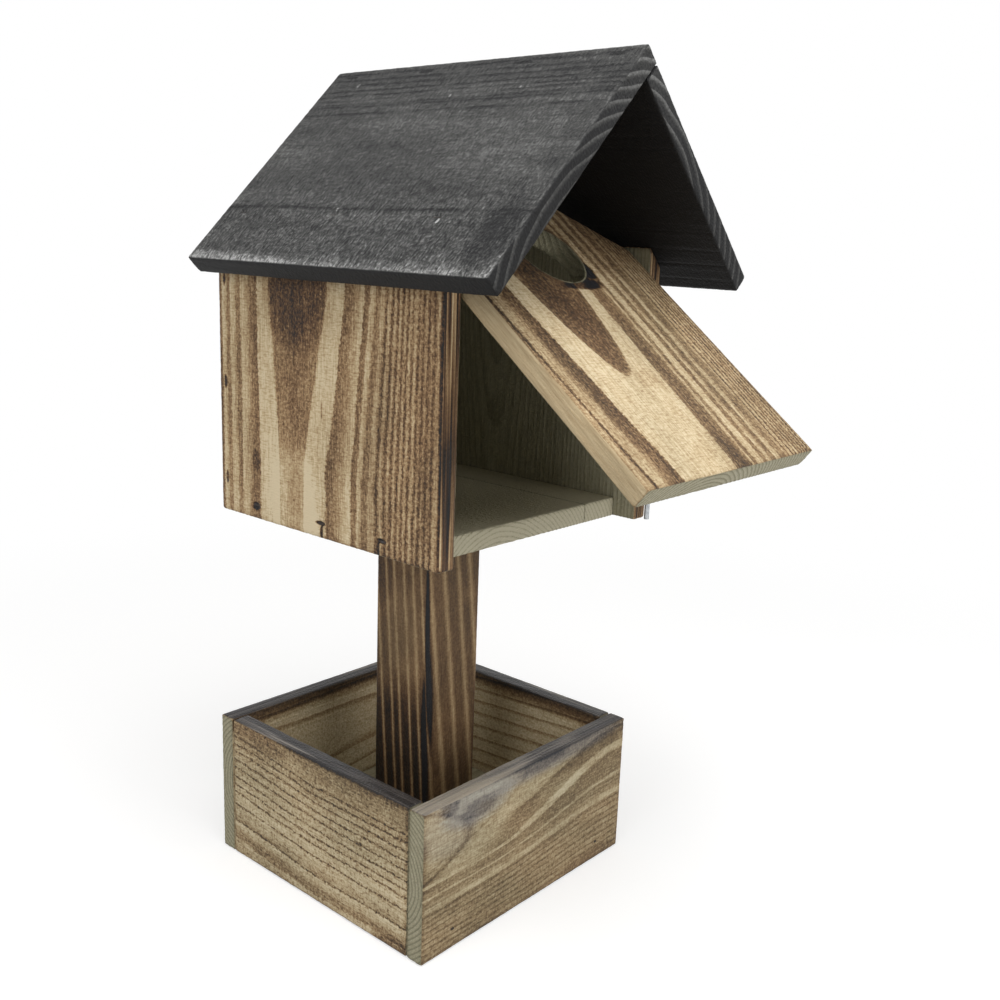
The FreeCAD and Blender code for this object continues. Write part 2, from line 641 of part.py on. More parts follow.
screw = new_body("screw_master")
screw_profile = sketch_on(screw, "screw_profile", "XZ_Plane")
outline(screw_profile, [
    ("0", "0"), ("@screw_head / 2", "0"), ("@screw_shank / 2", "-(@screw_head - @screw_shank) / 2"),
    ("@screw_shank / 2", "-@screw_length"), ("0", "-@screw_length")])
revolve(screw, screw_profile)
recess = sketch_on(screw, "cross_recess", "XY_Plane")
ARM = "@screw_recess / 2"
SLOT = "@screw_recess_slot / 2"
outline(recess, [
    (ARM, "-" + SLOT), (ARM, SLOT), (SLOT, SLOT), (SLOT, ARM), ("-" + SLOT, ARM), ("-" + SLOT, SLOT),
    ("-" + ARM, SLOT), ("-" + ARM, "-" + SLOT), ("-" + SLOT, "-" + SLOT), ("-" + SLOT, "-" + ARM),
    (SLOT, "-" + ARM), (SLOT, "-" + SLOT)])
pocket(screw, recess, "@screw_recess_depth")

staple = new_body("staple_master")
staple_shape = sketch_on(staple, "staple_shape", "YZ_Plane")
OUT = "@staple_crown / 2"
IN = "(@staple_crown / 2 - @staple_wire)"
outline(staple_shape, [
    ("-" + OUT, "0"), (OUT, "0"), (OUT, "-@staple_leg"), (IN, "-@staple_leg"), (IN, "-@staple_wire"),
    ("-" + IN, "-@staple_wire"), ("-" + IN, "-@staple_leg"), ("-" + OUT, "-@staple_leg")])
pad(staple, staple_shape, "@staple_wire", midplane=True)


def fasteners(label, master, copies):
    """Group of linked copies; each copy is x, y, z, the axis it is turned about and the angle."""
    links = []
    for i, (x, y, z, axis, angle) in enumerate(copies):
        link = doc.addObject("App::Link", f"{label}_{i + 1}")
        link.LinkedObject = master
        place(link, x, y, z, axis, angle)
        links.append(link)
    group = doc.addObject("Part::Compound", label)
    group.Label = label
    group.Links = links
    return group


ABOUT_X = (1, 0, 0)
ABOUT_Y = (0, 1, 0)
FRONT_FACE = sized("(@planter_depth / 2 - @brad_sink)")
SIDE_FACE = sized("(@planter_width / 2 - @brad_sink)")

corner_copies = [
    (side + CORNER_BRAD_X, end + FRONT_FACE, z, ABOUT_X, "90" if end else "-90")
    for end in ("-", "") for side in ("-", "") for z in ("@low_brad", TOP_BRAD_Z)
]
planter_corner_brads = fasteners("planter_corner_brads", brad, corner_copies)

slat_copies = [
    (side + SLAT_BRAD_X, end + FRONT_FACE, SLAT_MIDDLE, ABOUT_X, "90" if end else "-90")
    for end in ("-", "") for side in ("-", "")
]
slat_copies += [
    (end + SIDE_FACE, side + shift, SLAT_MIDDLE, ABOUT_Y, "-90" if end else "90")
    for end in ("-", "") for side in ("-", "") for shift in (END_SLAT_OFFSET, "@middle_slat_width / 4")
]
planter_floor_brads = fasteners("planter_floor_brads", brad, slat_copies)

post_foot_screws = fasteners(
    "post_foot_screws", screw, [(x, y, "@slat_lift", ABOUT_X, "180") for x, y in SCREW_PLACES])
FLOOR_TOP = sized(f"({HOUSE_BOTTOM} + @house_floor_board)")
post_head_screws = fasteners(
    "post_head_screws", screw, [(x, y, FLOOR_TOP, ABOUT_X, "0") for x, y in SCREW_PLACES])

PANEL_FACE_BRAD = sized("(@house_width / 2 - @brad_sink)")
BACK_MIDDLE = sized(f"({HOUSE_BACK} - @back_board / 2)")
back_copies = [
    (side + PANEL_FACE_BRAD, BACK_MIDDLE, f"{HOUSE_BOTTOM} + @back_brad_first + {i} * @back_brad_step",
     ABOUT_Y, "-90" if side else "90")
    for side in ("-", "") for i in range(BACK_BRADS)
]
back_panel_brads = fasteners("back_panel_brads", brad, back_copies)

PANEL_FACE_STAPLE = sized("(@house_width / 2 - @staple_sink)")
for name, side, angle in (("left_floor_staples", "-", "-90"), ("right_floor_staples", "", "90")):
    copies = [
        (side + PANEL_FACE_STAPLE, f"{HOUSE_FRONT} + @house_depth * {share}",
         f"{HOUSE_BOTTOM} + @floor_staple_height", ABOUT_Y, angle)
        for share in FLOOR_STAPLES
    ]
    fasteners(name, staple, copies)

ROOF_FRONT = sized(f"({HOUSE_FRONT} - @roof_overhang)")
ROOF_STAPLE_TOP = sized(f"({APEX} - {PANEL_MIDDLE} * tan(@roof_pitch) - @staple_sink)")
for name, side in (("left_roof_staples", "-"), ("right_roof_staples", "")):
    copies = [
        (side + PANEL_MIDDLE, f"{ROOF_FRONT} + {ROOF_LENGTH} * {share}", ROOF_STAPLE_TOP, ABOUT_Y, "0")
        for share in ROOF_STAPLES
    ]
    fasteners(name, staple, copies)

RIDGE_X = "-(@ridge_staple_inset * cos(@roof_pitch) - @staple_sink * sin(@roof_pitch))"
RIDGE_Z = f"{APEX} - @ridge_staple_inset * sin(@roof_pitch) - @staple_sink * cos(@roof_pitch)"
ridge_staples = fasteners("ridge_staples", staple, [
    (RIDGE_X, f"{ROOF_FRONT} + {ROOF_LENGTH} * {share}", RIDGE_Z, ABOUT_Y, "-@roof_pitch")
    for share in RIDGE_STAPLES
])

doc.recompute()

# Check every object, then write one file for each piece

for item in doc.Objects:
    if "Invalid" in item.State or "Error" in item.State:
        raise RuntimeError(f"{item.Label} did not compute: {item.State}")

masters = (brad, screw, staple)
pieces = [
    item for item in doc.Objects
    if item.TypeId in ("PartDesign::Body", "Part::Compound") and item not in masters
]
os.makedirs("parts", exist_ok=True)
for piece in pieces:
    shape = piece.Shape
    if shape.isNull() or not shape.isValid() or not shape.Solids:
        raise RuntimeError(f"{piece.Label} has no valid solid")
    shape.exportStep(f"parts/{piece.Label}.step")
    box = shape.BoundBox
    print(
        f"{piece.Label}: {len(shape.Solids)} solid(s), {shape.Volume / 1000:.2f} cm3,"
        f" x {box.XMin:.1f} to {box.XMax:.1f}, y {box.YMin:.1f} to {box.YMax:.1f},"
        f" z {box.ZMin:.1f} to {box.ZMax:.1f}")
print(len(pieces), "pieces written")
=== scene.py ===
# %% [markdown]
# # A charred and brushed bird house on a planter
# The object is a gabled house of thin spruce boards on a short post, in an open planter box. Its boards were
# scorched with a flame and brushed along the grain, and its roof is stained charcoal over the saw marks.
# The construction comes ready from the CAD model. This lesson gives each board the surface of real wood.

# %% Load the construction
import math
from dataclasses import dataclass, field
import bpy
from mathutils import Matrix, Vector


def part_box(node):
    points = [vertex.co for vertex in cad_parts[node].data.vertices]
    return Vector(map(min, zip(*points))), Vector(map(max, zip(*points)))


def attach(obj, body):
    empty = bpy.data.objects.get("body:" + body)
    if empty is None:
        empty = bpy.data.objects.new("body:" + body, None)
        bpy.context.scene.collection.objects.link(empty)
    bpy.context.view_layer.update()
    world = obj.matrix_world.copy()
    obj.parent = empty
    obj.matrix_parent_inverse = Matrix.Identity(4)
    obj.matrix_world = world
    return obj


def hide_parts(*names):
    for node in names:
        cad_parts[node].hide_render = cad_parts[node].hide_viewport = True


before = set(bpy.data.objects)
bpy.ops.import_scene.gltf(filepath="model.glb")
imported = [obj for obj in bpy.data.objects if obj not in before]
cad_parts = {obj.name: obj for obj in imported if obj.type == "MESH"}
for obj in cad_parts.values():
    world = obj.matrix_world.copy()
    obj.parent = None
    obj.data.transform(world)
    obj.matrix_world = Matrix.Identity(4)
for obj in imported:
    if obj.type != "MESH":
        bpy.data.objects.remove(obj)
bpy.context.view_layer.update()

from types import SimpleNamespace

import bmesh
import bpy
from mathutils import Matrix, Vector

MM = 0.001

# %% [markdown]
# ## Three helpers
# Hex colours are read off screens, which store them in sRGB, while shaders work in linear light. One function
# turns the first into the second. Another adds a node, sets it up and links it, so a recipe for wood can be
# read from top to bottom. A name in capitals stands for one operation of the Math node. The third starts a
# material.

# %% Colours, nodes and materials
def paint(code):
    """An sRGB hex colour as linear red, green, blue and alpha."""
    shares = [int(code[i:i + 2], 16) / 255 for i in (1, 3, 5)]
    return [s / 12.92 if s <= 0.04045 else ((s + 0.055) / 1.055) ** 2.4 for s in shares] + [1.0]


def add(tree, kind, *values, out=0, sockets=None, stops=None, **settings):
    """Adds a node with its settings, values and links, and gives one of its outputs, if it has any."""
    made = tree.nodes.new("ShaderNodeMath" if kind.isupper() else kind)
    if kind.isupper():
        made.operation = kind
    for name, value in settings.items():
        setattr(made, name, value)
    if stops:
        ramp = made.color_ramp
        while len(ramp.elements) < len(stops):
            ramp.elements.new(0.5)
        for element, (place, colour) in zip(ramp.elements, stops):
            element.position, element.color = place, colour
    for socket, value in [*enumerate(values), *(sockets or {}).items()]:
        if isinstance(value, bpy.types.NodeSocket):
            tree.links.new(value, made.inputs[socket])
        elif value is not None:
            made.inputs[socket].default_value = value
    return made.outputs[out] if len(made.outputs) else None


def new_material(name):
    """A material without nodes, and its tree."""
    made = bpy.data.materials.new(name)
    made.use_nodes = True
    made.node_tree.nodes.clear()
    return made, made.node_tree


print("cream reads", [round(c, 3) for c in paint("#c9b48c")])

# %% [markdown]
# ## The camera
# It stands low and to the left of the front, as the picture was taken, and leans a little. Its place and its
# three directions were worked out from the corners of the house, the post and the planter.

# %% The camera
CAMERA_PLACE = Vector((-0.47231, -0.46720, 0.38662))
CAMERA_RIGHT = (0.66296, -0.74777, 0.03636)
CAMERA_UP = (0.14749, 0.17806, 0.97290)
CAMERA_BACK = (-0.73398, -0.63963, 0.22833)
LENS = 40.714

camera = bpy.data.objects.new("camera", bpy.data.cameras.new("camera"))
bpy.context.collection.objects.link(camera)
camera.data.sensor_width = 36
camera.data.sensor_fit = "HORIZONTAL"
camera.data.lens = LENS
camera.data.clip_start = 0.01
camera.matrix_world = Matrix.Translation(CAMERA_PLACE) @ Matrix(
    (CAMERA_RIGHT, CAMERA_UP, CAMERA_BACK)).transposed().to_4x4()
bpy.context.scene.camera = camera
print("camera at mm", [round(c / MM) for c in CAMERA_PLACE], "lens", LENS)

# %% [markdown]
# ## Floor, backdrop and studio light
# A product picture of this kind has a white ground. The floor stays a real floor near the object, so that it
# keeps a soft shadow, and fades into plain white further out. The world is white only for rays that come
# straight from the camera or from a mirror or glass, and a soft grey for the light that it sheds.

# %% The studio
FLOOR_RADIUS = 6.0
FADE_START, FADE_END = 0.25, 0.9
SKY_LIGHT = 0.34        # how strong the light is that the world sheds
FLOOR_GLOW = 0.55       # how much the camera sees the floor lit by itself


def straight_ray(tree):
    """1 for a ray from the camera, or one that came over metal or glass."""
    rays = tree.nodes.new("ShaderNodeLightPath").outputs
    seen = add(tree, "MAXIMUM", rays["Is Camera Ray"], rays["Is Glossy Ray"])
    return add(tree, "MAXIMUM", seen, rays["Is Transmission Ray"])


world = bpy.data.worlds.new("studio")
bpy.context.scene.world = world
world.use_nodes = True
tree = world.node_tree
tree.nodes.clear()
soft = add(tree, "ShaderNodeBackground", paint("#f6f5f2"), SKY_LIGHT)
white = add(tree, "ShaderNodeBackground", paint("#ffffff"), 1.0)
add(tree, "ShaderNodeOutputWorld", add(tree, "ShaderNodeMixShader", straight_ray(tree), soft, white))

floor_mesh = bpy.data.meshes.new("floor")
floor_form = bmesh.new()
bmesh.ops.create_circle(floor_form, cap_ends=True, radius=FLOOR_RADIUS, segments=96)
floor_form.to_mesh(floor_mesh)
floor_form.free()
floor = bpy.data.objects.new("floor", floor_mesh)
bpy.context.collection.objects.link(floor)

floor_paint, tree = new_material("matt_white_floor")
place = add(tree, "ShaderNodeTexCoord", out="Object")
away = add(tree, "ShaderNodeVectorMath", place, operation="LENGTH", out="Value")
fade = add(tree, "ShaderNodeMapRange", away, FADE_START, FADE_END, 0.0, 1.0, interpolation_type="SMOOTHSTEP")
matt = add(tree, "ShaderNodeBsdfDiffuse", paint("#c8c8c8"))
glow = add(tree, "MULTIPLY", straight_ray(tree), FLOOR_GLOW)
glow = add(tree, "ShaderNodeEmission", paint("#ffffff"), glow)
near = add(tree, "ShaderNodeAddShader", matt, glow)
far = add(tree, "ShaderNodeEmission", paint("#ffffff"), 1.0)
ground = add(tree, "ShaderNodeMixShader", add(tree, "MULTIPLY", fade, straight_ray(tree)), near, far)
add(tree, "ShaderNodeOutputMaterial", ground)
floor_mesh.materials.append(floor_paint)


def lamp(name, place, aim, width, watts):
    """A square soft box that looks at a point of the object."""
    light = bpy.data.lights.new(name, "AREA")
    light.size = width
    light.energy = watts
    made = bpy.data.objects.new(name, light)
    made.location = place
    made.rotation_euler = (Vector(place) - Vector(aim)).to_track_quat("Z", "Y").to_euler()
    bpy.context.collection.objects.link(made)
    return made


HOUSE_MIDDLE = (0, -0.03, 0.30)
lamps = [
    lamp("top_soft_box", (-0.25, -0.45, 1.5), HOUSE_MIDDLE, 1.1, 16.0),
    lamp("left_soft_box", (-1.5, -0.15, 0.7), HOUSE_MIDDLE, 1.0, 6.8),
    lamp("front_soft_box", (0.25, -1.6, 0.55), HOUSE_MIDDLE, 1.0, 8.0),
]
print("lamps", [(l.name, l.data.energy) for l in lamps])

# %% [markdown]
# ## What a board is
# Wood isn't the same in all directions. Its grain runs along the tree, and its growth rings are rough
# cylinders about the tree's heart. A board is a slice of that, so stripes on its faces and curves on its ends
# belong to the same rings. Each board here therefore gets its own axes: x across the face, y along the grain
# and z out of the face that shows. All its marks are then places in mm from the board's middle, measured on
# the real one.

# %% One board's description
@dataclass
class Board:
    """How a board lies, how its rings run, and where the flame and the brush went. Places are in mm."""
    grain: tuple
    face: tuple
    heart: tuple = (10, -34)        # the tree's heart across and behind the board
    drift: tuple = (0.02, 0.05)     # how it wanders per mm of length
    ring: float = 2.6               # width of a growth ring
    bands: list = field(default_factory=lambda: [(-90, 0.3), (90, 0.3)])   # place across, how burnt
    lines: list = field(default_factory=list)     # places of thin lines
    line: tuple = (0.9, 0.6, 0.9)   # their half width, how burnt they are and how full
    lean: tuple = (0, 1, 0)         # where the bands start to bend, which way, how far, and how softly
    bend: list = field(default_factory=lambda: [(-90, 0.0), (90, 0.0)])    # place across, bend per mm along
    skew: tuple = (1.0, 0.0, 0.0)   # what a step across, along and through adds to a band's place
    tongues: list = field(default_factory=list)   # apex, spread, way, and marks by mm inside the curve
    calm: list = field(default_factory=list)      # middle, radii and level of patches where the bands fade
    # On the roof these patches are paler and darker marks in the stain, and some of them are painted shade.
    scorch: list = field(default_factory=list)    # middle, radii and strength of burnt patches
    smoke: list = field(default_factory=list)     # middle, radii and strength of patches under grey soot
    bore: tuple = None              # middle and radius of a hole, whose wall was never scorched
    waves: float = 70               # length of the waves in its bands
    grit: float = 1.0               # how rough the brushed wood is
    fleck: float = 0.0              # how burnt the small flecks on it are
    grey: float = 0.0               # how far its colour went to grey
    bare: float = 0.0               # how much paler its bare wood is
    inner: float = None             # how burnt its inner face is, where it isn't bare
    body: str = "root"


FLAP_OPEN = math.radians(52)
SLOPE = math.radians(45)
UP, BACK, RIGHT = (0, 0, 1), (0, 1, 0), (1, 0, 0)
LEFT, FRONT = (-1, 0, 0), (0, -1, 0)
FLAP_UP = (0, math.sin(FLAP_OPEN), math.cos(FLAP_OPEN))
FLAP_OUT = (0, -math.cos(FLAP_OPEN), math.sin(FLAP_OPEN))
LEFT_SLOPE = (-math.sin(SLOPE), 0, math.cos(SLOPE))
RIGHT_SLOPE = (math.sin(SLOPE), 0, math.cos(SLOPE))


def board_axes(name, board):
    """The matrix from a board's own axes, about its middle, to the object's frame."""
    grain, face = Vector(board.grain), Vector(board.face)
    low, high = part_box(name)
    turn = Matrix((grain.cross(face), grain, face)).transposed().to_4x4()
    return Matrix.Translation((Vector(low) + Vector(high)) / 2) @ turn


print("a board's axes: across, along the grain, out of its face")

# %% [markdown]
# ## The scorched boards
# Every place was read off the face of the real board. Pale bands are wide rings of hard wood that the flame
# passed quickly, brown ones are soft wood, and thin stripes are where the rings stand close together.

# %% Left side panel
PALE, TAN, BROWN, DARK = 0.07, 0.20, 0.395, 0.50

left_bands = [
    (-90, DARK), (-87, DARK), (-85.8, PALE), (-82.4, TAN), (-81.8, BROWN), (-79.4, BROWN), (-78.4, PALE),
    (-73.8, TAN), (-73, BROWN), (-69.8, BROWN), (-68.8, PALE), (-63.5, TAN), (-60, BROWN), (-54.4, DARK),
    (-53.8, PALE), (-44.6, PALE), (-43.2, BROWN), (-20, DARK), (4.5, BROWN), (6.5, PALE), (18.6, PALE),
    (19.3, DARK), (25, BROWN), (30, TAN), (33.6, PALE), (34.4, DARK), (38, BROWN), (39, PALE), (42, TAN),
    (42.6, BROWN), (46, BROWN), (47, TAN)]
left_bend = [
    (-90, 0.0), (-54, -0.02), (-50, -0.04), (-43.5, -0.13), (-38, -0.13), (0, 0.21), (6, 0.23), (12, 0.17),
    (19, 0.14), (30, 0.10), (44, 0.10), (48, 0.07), (60, 0.04), (88, 0.0)]
left_scorch = [
    ((-20, 58, 6), (36, 44, 20), 0.24), ((-24, -66, 6), (26, 42, 20), -0.24),
    ((18, -62, 6), (12, 30, 20), -0.10), ((90, 20, 6), (3.2, 90, 5), 0.5), ((90, -50, 6), (2.4, 40, 5), 0.3),
    ((80, 0, 6), (10, 90, 20), 0.14), ((92, 30, -1), (4, 110, 12), 0.34), ((92, 0, 1), (5, 120, 1.2), -0.2),
    ((93, -74, 0), (9, 44, 12), 0.3), ((-84, -4, 6), (1.8, 5, 4), 0.6), ((-84, -60, 6), (1.6, 5, 4), 0.6),
    ((-84, 54, 6), (1.6, 5, 4), 0.6), ((-57, -73, 6), (4, 3, 4), 0.6), ((-56, -46, 6), (5, 8, 5), 0.2),
    ((0, -72, 6), (5, 1.5, 4), 0.8), ((1, -77, 6), (1.4, 7, 4), 0.8), ((48, -72, 6), (4.5, 1.5, 4), 0.8),
    ((46, -77, 6), (1.2, 7, 4), 0.8), ((1, -10, 6), (0.9, 7, 4), 0.3)]
panel_lines = {"line": (1.6, 0.63, 1.0), "grit": 0.85}
BOARDS = {
    "left_side_panel": Board(
        UP, LEFT, heart=(-24, -40), drift=(0.02, 0.06), bands=left_bands, lean=(50, -1, 92), bend=left_bend,
        lines=[50.6, 54.8, 58.4, 62.2, 65.6, 69.2, 73, 76.4, 80, 83.6], scorch=left_scorch, **panel_lines),
}
print("bands on the left panel", len(left_bands))

# %% Right side panel and back panel
# The right panel is cut like the left one, and its front edge and top corner show beside the flap.
BOARDS["right_side_panel"] = Board(
    UP, RIGHT, heart=(24, -40), drift=(0.02, 0.05), bands=[(-mm, burn) for mm, burn in reversed(left_bands)],
    lean=(40, -1, 90), bend=[(-mm, -bend) for mm, bend in reversed(left_bend)],
    lines=[-83, -79, -75.4, -71, -67.6, -64, -60.2, -56],
    scorch=[((-90, 20, 6), (3.4, 90, 7), 0.4), ((-91, 56, 0), (7, 34, 13), 0.4),
            ((20, 62, 6), (34, 38, 20), 0.2), ((24, -66, 6), (24, 40, 20), -0.2)], **panel_lines)
BOARDS["back_panel"] = Board(
    UP, BACK, heart=(12, -44), drift=(0.02, 0.07), lean=(90, -1, 180),
    bands=[(-78, BROWN), (-72, TAN), (-66, BROWN), (-58, PALE), (-50, BROWN), (-36, DARK), (-30, PALE),
           (-14, PALE), (-10, BROWN), (20, DARK), (26, PALE), (40, TAN), (44, BROWN), (52, DARK), (54, PALE),
           (60, BROWN), (66, TAN), (70, BROWN), (78, BROWN)],
    bend=[(-78, -0.01), (-20, -0.07), (4, -0.1), (6, 0.1), (30, 0.06), (78, 0.01)],
    lines=[-75, -69, -62, 57, 63, 68, 73], line=(1.2, 0.6, 0.9),
    scorch=[((0, -110, 6), (90, 24, 20), 0.25), ((0, 110, 6), (60, 50, 20), 0.15)])
print("panels", len(BOARDS))

# %% Front flap
# A wide tongue of scorched wood ends in the middle of the flap, below the entrance.
BOARDS["front_flap"] = Board(
    FLAP_UP, FLAP_OUT, heart=(-22, -30), drift=(0.0, 0.05), lean=(5, -1, 130), body="front_flap",
    bands=[(-80, TAN), (-77, 0.3), (-76.4, 0.6), (-75.2, 0.66), (-74.4, TAN), (-69, TAN), (-64, 0.5),
           (-56.4, 0.62), (-55.6, PALE), (5.6, PALE), (6.6, BROWN), (12, DARK), (18, BROWN), (18.8, TAN),
           (19.6, PALE), (20.6, TAN), (21.4, BROWN), (23.4, BROWN), (24.4, PALE), (28.6, PALE),
           (29.6, BROWN), (32.6, BROWN), (33.4, PALE), (36.2, TAN), (37.2, BROWN), (40.6, BROWN),
           (41.6, PALE), (44.4, TAN), (46, BROWN), (50, BROWN), (52, TAN), (80, 0.2)],
    bend=[(-80, -0.055), (-50, -0.075), (-24, -0.02), (0, 0.065), (20, 0.042), (40, 0.03), (60, 0.02),
          (77, 0.0)],
    lines=[53.5, 57.5, 60.5, 63.5, 66, 68.6, 71.2, 73.8], line=(1.2, 0.68, 0.9), grit=0.8,
    tongues=[((-22, -53), 6.4, 1, [(-1.5, 0.0), (2, 0.40), (8, 0.46), (40, 0.56), (80, 0.66)])],
    scorch=[((0, -50, 6), (110, 100, 20), 0.05), ((-14, 22, 6), (16, 24, 20), -0.10),
            ((19, 24, 6), (7, 8, 9), 1.0), ((6, 13, 6), (20, 5, 6), 0.6), ((16, 20, 6), (10, 12, 9), 0.3),
            ((0, -108, 6), (40, 14, 20), 0.05), ((40, 46, 6), (40, 34, 20), 0.14),
            ((58, -30, 6), (24, 90, 20), -0.05), ((-8, -56, 6), (14, 8, 20), 0.08)],
    bore=(0, 37.5, 22.5), bare=0.15, grey=0.35)
print("bands on the flap", len(BOARDS["front_flap"].bands))

# %% Post
# The post shows thin pale rings on scorched wood, on two faces at once, so its bands are measured along a
# line through both: about ten units from one ring to the next.
BOARDS["post"] = Board(
    UP, FRONT, heart=(-88, -133), drift=(0.0, 0.0), ring=6.6, skew=(0.833, 0.095, 1.25), grit=0.3,
    grey=0.3, bands=[(-60, 0.60), (60, 0.60)],
    lines=[-40, -29.5, -21.2, -10.2, -0.5, 8.3, 17.3, 27.3, 37.3, 45.8], line=(2.6, 0.26, 0.95),
    scorch=[((-24, 84, -18), (10, 50, 14), 0.14), ((-24, 30, 2), (14, 36, 20), -0.10),
            ((-28, -56, 0), (17, 66, 60), 0.30), ((-22.5, 0, 22.5), (3, 130, 3), 0.8),
            ((-22, -20, 23), (7, 60, 5), 0.6), ((-24, -14, 24), (9, 34, 6), 0.3)])
print("pale rings on the post", len(BOARDS["post"].lines))

# %% Planter boards
# The box boards were only touched by the flame. Their rings show as thin dark broken lines, their upper and
# lower edges are charred, and grey soot lies along the top of the front board.
rim_char = ((46, 0, 0), (5, 120, 9), 0.45)
foot_char = ((-46, 0, 6), (3, 120, 9), 0.35)
planter_bands = [
    (-45, TAN), (-41, 0.12), (-40, BROWN), (-37, 0.36), (-31, 0.10), (-28.4, 0.08), (-27.4, 0.26),
    (-22, 0.14), (-18, 0.08), (0, 0.12), (20, 0.18), (34, 0.26), (41, 0.32), (45, 0.5)]
front_bands = [
    (-46, 0.34), (-12, 0.3), (-8, 0.34), (-5.5, 0.38), (-4.5, 0.2), (-1.5, 0.18), (-0.5, 0.3), (7.5, 0.38),
    (8.3, 0.18), (9.8, 0.18), (10.6, 0.36), (25, 0.42), (26.2, 0.16), (31, 0.15), (32, 0.38), (42, 0.48),
    (43.4, 0.2), (50, 0.2), (56, 0.26), (60, 0.18), (70, 0.18), (80, 0.2)]
front_lines = [-43, -39.4, -35.4, -31.6, -27.6, -23.6, -19.4, -15.4, -11.2, -7]
box_side = {"drift": (0.05, 0.03), "bands": planter_bands, "line": (0.85, 0.72, 1.0), "grit": 0.85,
            "waves": 26, "grey": 0.6, "fleck": 0.2, "inner": 0.14}
BOARDS["planter_left_board"] = Board(
    BACK, LEFT, heart=(-70, -30), lean=(0, 1, 90), bend=[(-45, -0.08), (45, -0.08)],
    lines=[-28, -16.5, -9, -4, 1.5, 8, 13.5, 19, 24, 28.5], **box_side,
    scorch=[rim_char, foot_char, ((-44, -72, 6), (7, 26, 9), 0.3), ((38, 60, 6), (7, 40, 9), 0.16)])
BOARDS["planter_right_board"] = Board(
    FRONT, RIGHT, heart=(-64, -30), lean=(-80, 1, 160), bend=[(-45, 0.03), (45, 0.05)],
    lines=[-30, -21, -12, -6, 0, 6.5, 12, 17, 26, 33], **box_side, scorch=[rim_char, foot_char])
BOARDS["planter_front_board"] = Board(
    LEFT, FRONT, heart=(22, -30), drift=(-0.25, 0.02), lean=(-80, 1, 120, "SMOOTHSTEP"),
    bend=[(-45, 0.02), (-20, 0.05), (0, 0.09), (8, 0.13), (18, 0.2), (25, 0.25), (33, 0.24), (45, 0.2),
          (60, 0.16)],
    bands=front_bands, lines=front_lines, line=(1.0, 0.56, 0.8), grit=0.6, waves=26, grey=0.75, fleck=0.07,
    inner=0.14,
    tongues=[((24, 60), 12, 1, [(-12, 0.0), (-6, 0.24), (0, 0.0), (3, 0.0), (5, 0.08), (8, 0.0), (24, 0.0),
                                (31, 0.25)]),
             ((46, 6), 16, 1, [(-5, 0.0), (-1, 0.09), (4, 0.0), (30, 0.0)])],
    calm=[((23, 58, 6), (29, 50, 14), 0.2)],
    smoke=[((46, -6, 6), (14, 100, 9), 0.85), ((36, 48, 6), (14, 34, 9), 0.7),
           ((30, 70, 6), (22, 30, 9), 0.3)],
    scorch=[rim_char, foot_char, ((45, -8, 6), (10, 30, 9), 0.26), ((47, 40, 6), (9, 30, 9), -0.1),
            ((21, -26, 6), (9, 30, 9), -0.12), ((34, 46, 6), (7, 18, 9), 0.26),
            ((44, 70, 6), (9, 9, 9), 0.3), ((46, -54, 6), (13, 60, 9), 0.14),
            ((-46, -60, 6), (12, 44, 9), 0.15)])
BOARDS["planter_back_board"] = Board(
    RIGHT, BACK, heart=(10, -34), drift=(0.06, -0.05), lean=(-90, 1, 180),
    bend=[(-45, 0.03), (0, 0.12), (45, 0.05)], bands=front_bands, lines=front_lines, line=(1.0, 0.62, 0.9),
    grit=0.85, waves=26, grey=0.6, fleck=0.12, inner=0.14, scorch=[rim_char, foot_char])
print("boards with the planter's", len(BOARDS))

# %% Floors
# The floors were never scorched. They are plain boards with their rings, and a fine seam runs along one.
BOARDS["house_floor"] = Board(
    BACK, UP, heart=(-25, -45), drift=(0.01, 0.03), lines=[48], line=(0.7, 0.9, 1.0), grit=0.4, bare=0.38)
for name, heart in (("front", 10), ("middle", -14), ("back", 22)):
    BOARDS[f"planter_floor_{name}_slat"] = Board(RIGHT, UP, heart=(heart, -30), grit=0.4, bare=0.1)
print("scorched and plain boards", len(BOARDS))

# %% [markdown]
# ## The growth rings
# These nodes serve the shape and the colour alike. They measure how far a point lies from the tree's heart
# and count that in rings, which draws curves on the ends and long lines on the inner faces.

# %% Counting rings
def parts_of(tree, vector):
    """The three parts of a vector."""
    return list(add(tree, "ShaderNodeSeparateXYZ", vector).node.outputs)


def grain_noise(tree, plank, across, along, detail=2.0, rough=0.5):
    """Noise whose grains are so many mm wide and long."""
    stretched = add(tree, "ShaderNodeVectorMath", plank, (1 / across, 1 / along, 1 / across),
                    operation="MULTIPLY")
    return add(tree, "ShaderNodeTexNoise",
               sockets={"Vector": stretched, "Scale": 1.0, "Detail": detail, "Roughness": rough})


def vary(tree, value, noise, strength):
    """A value that a noise moves up and down."""
    return add(tree, "MULTIPLY_ADD", add(tree, "SUBTRACT", noise, 0.5), strength, value)


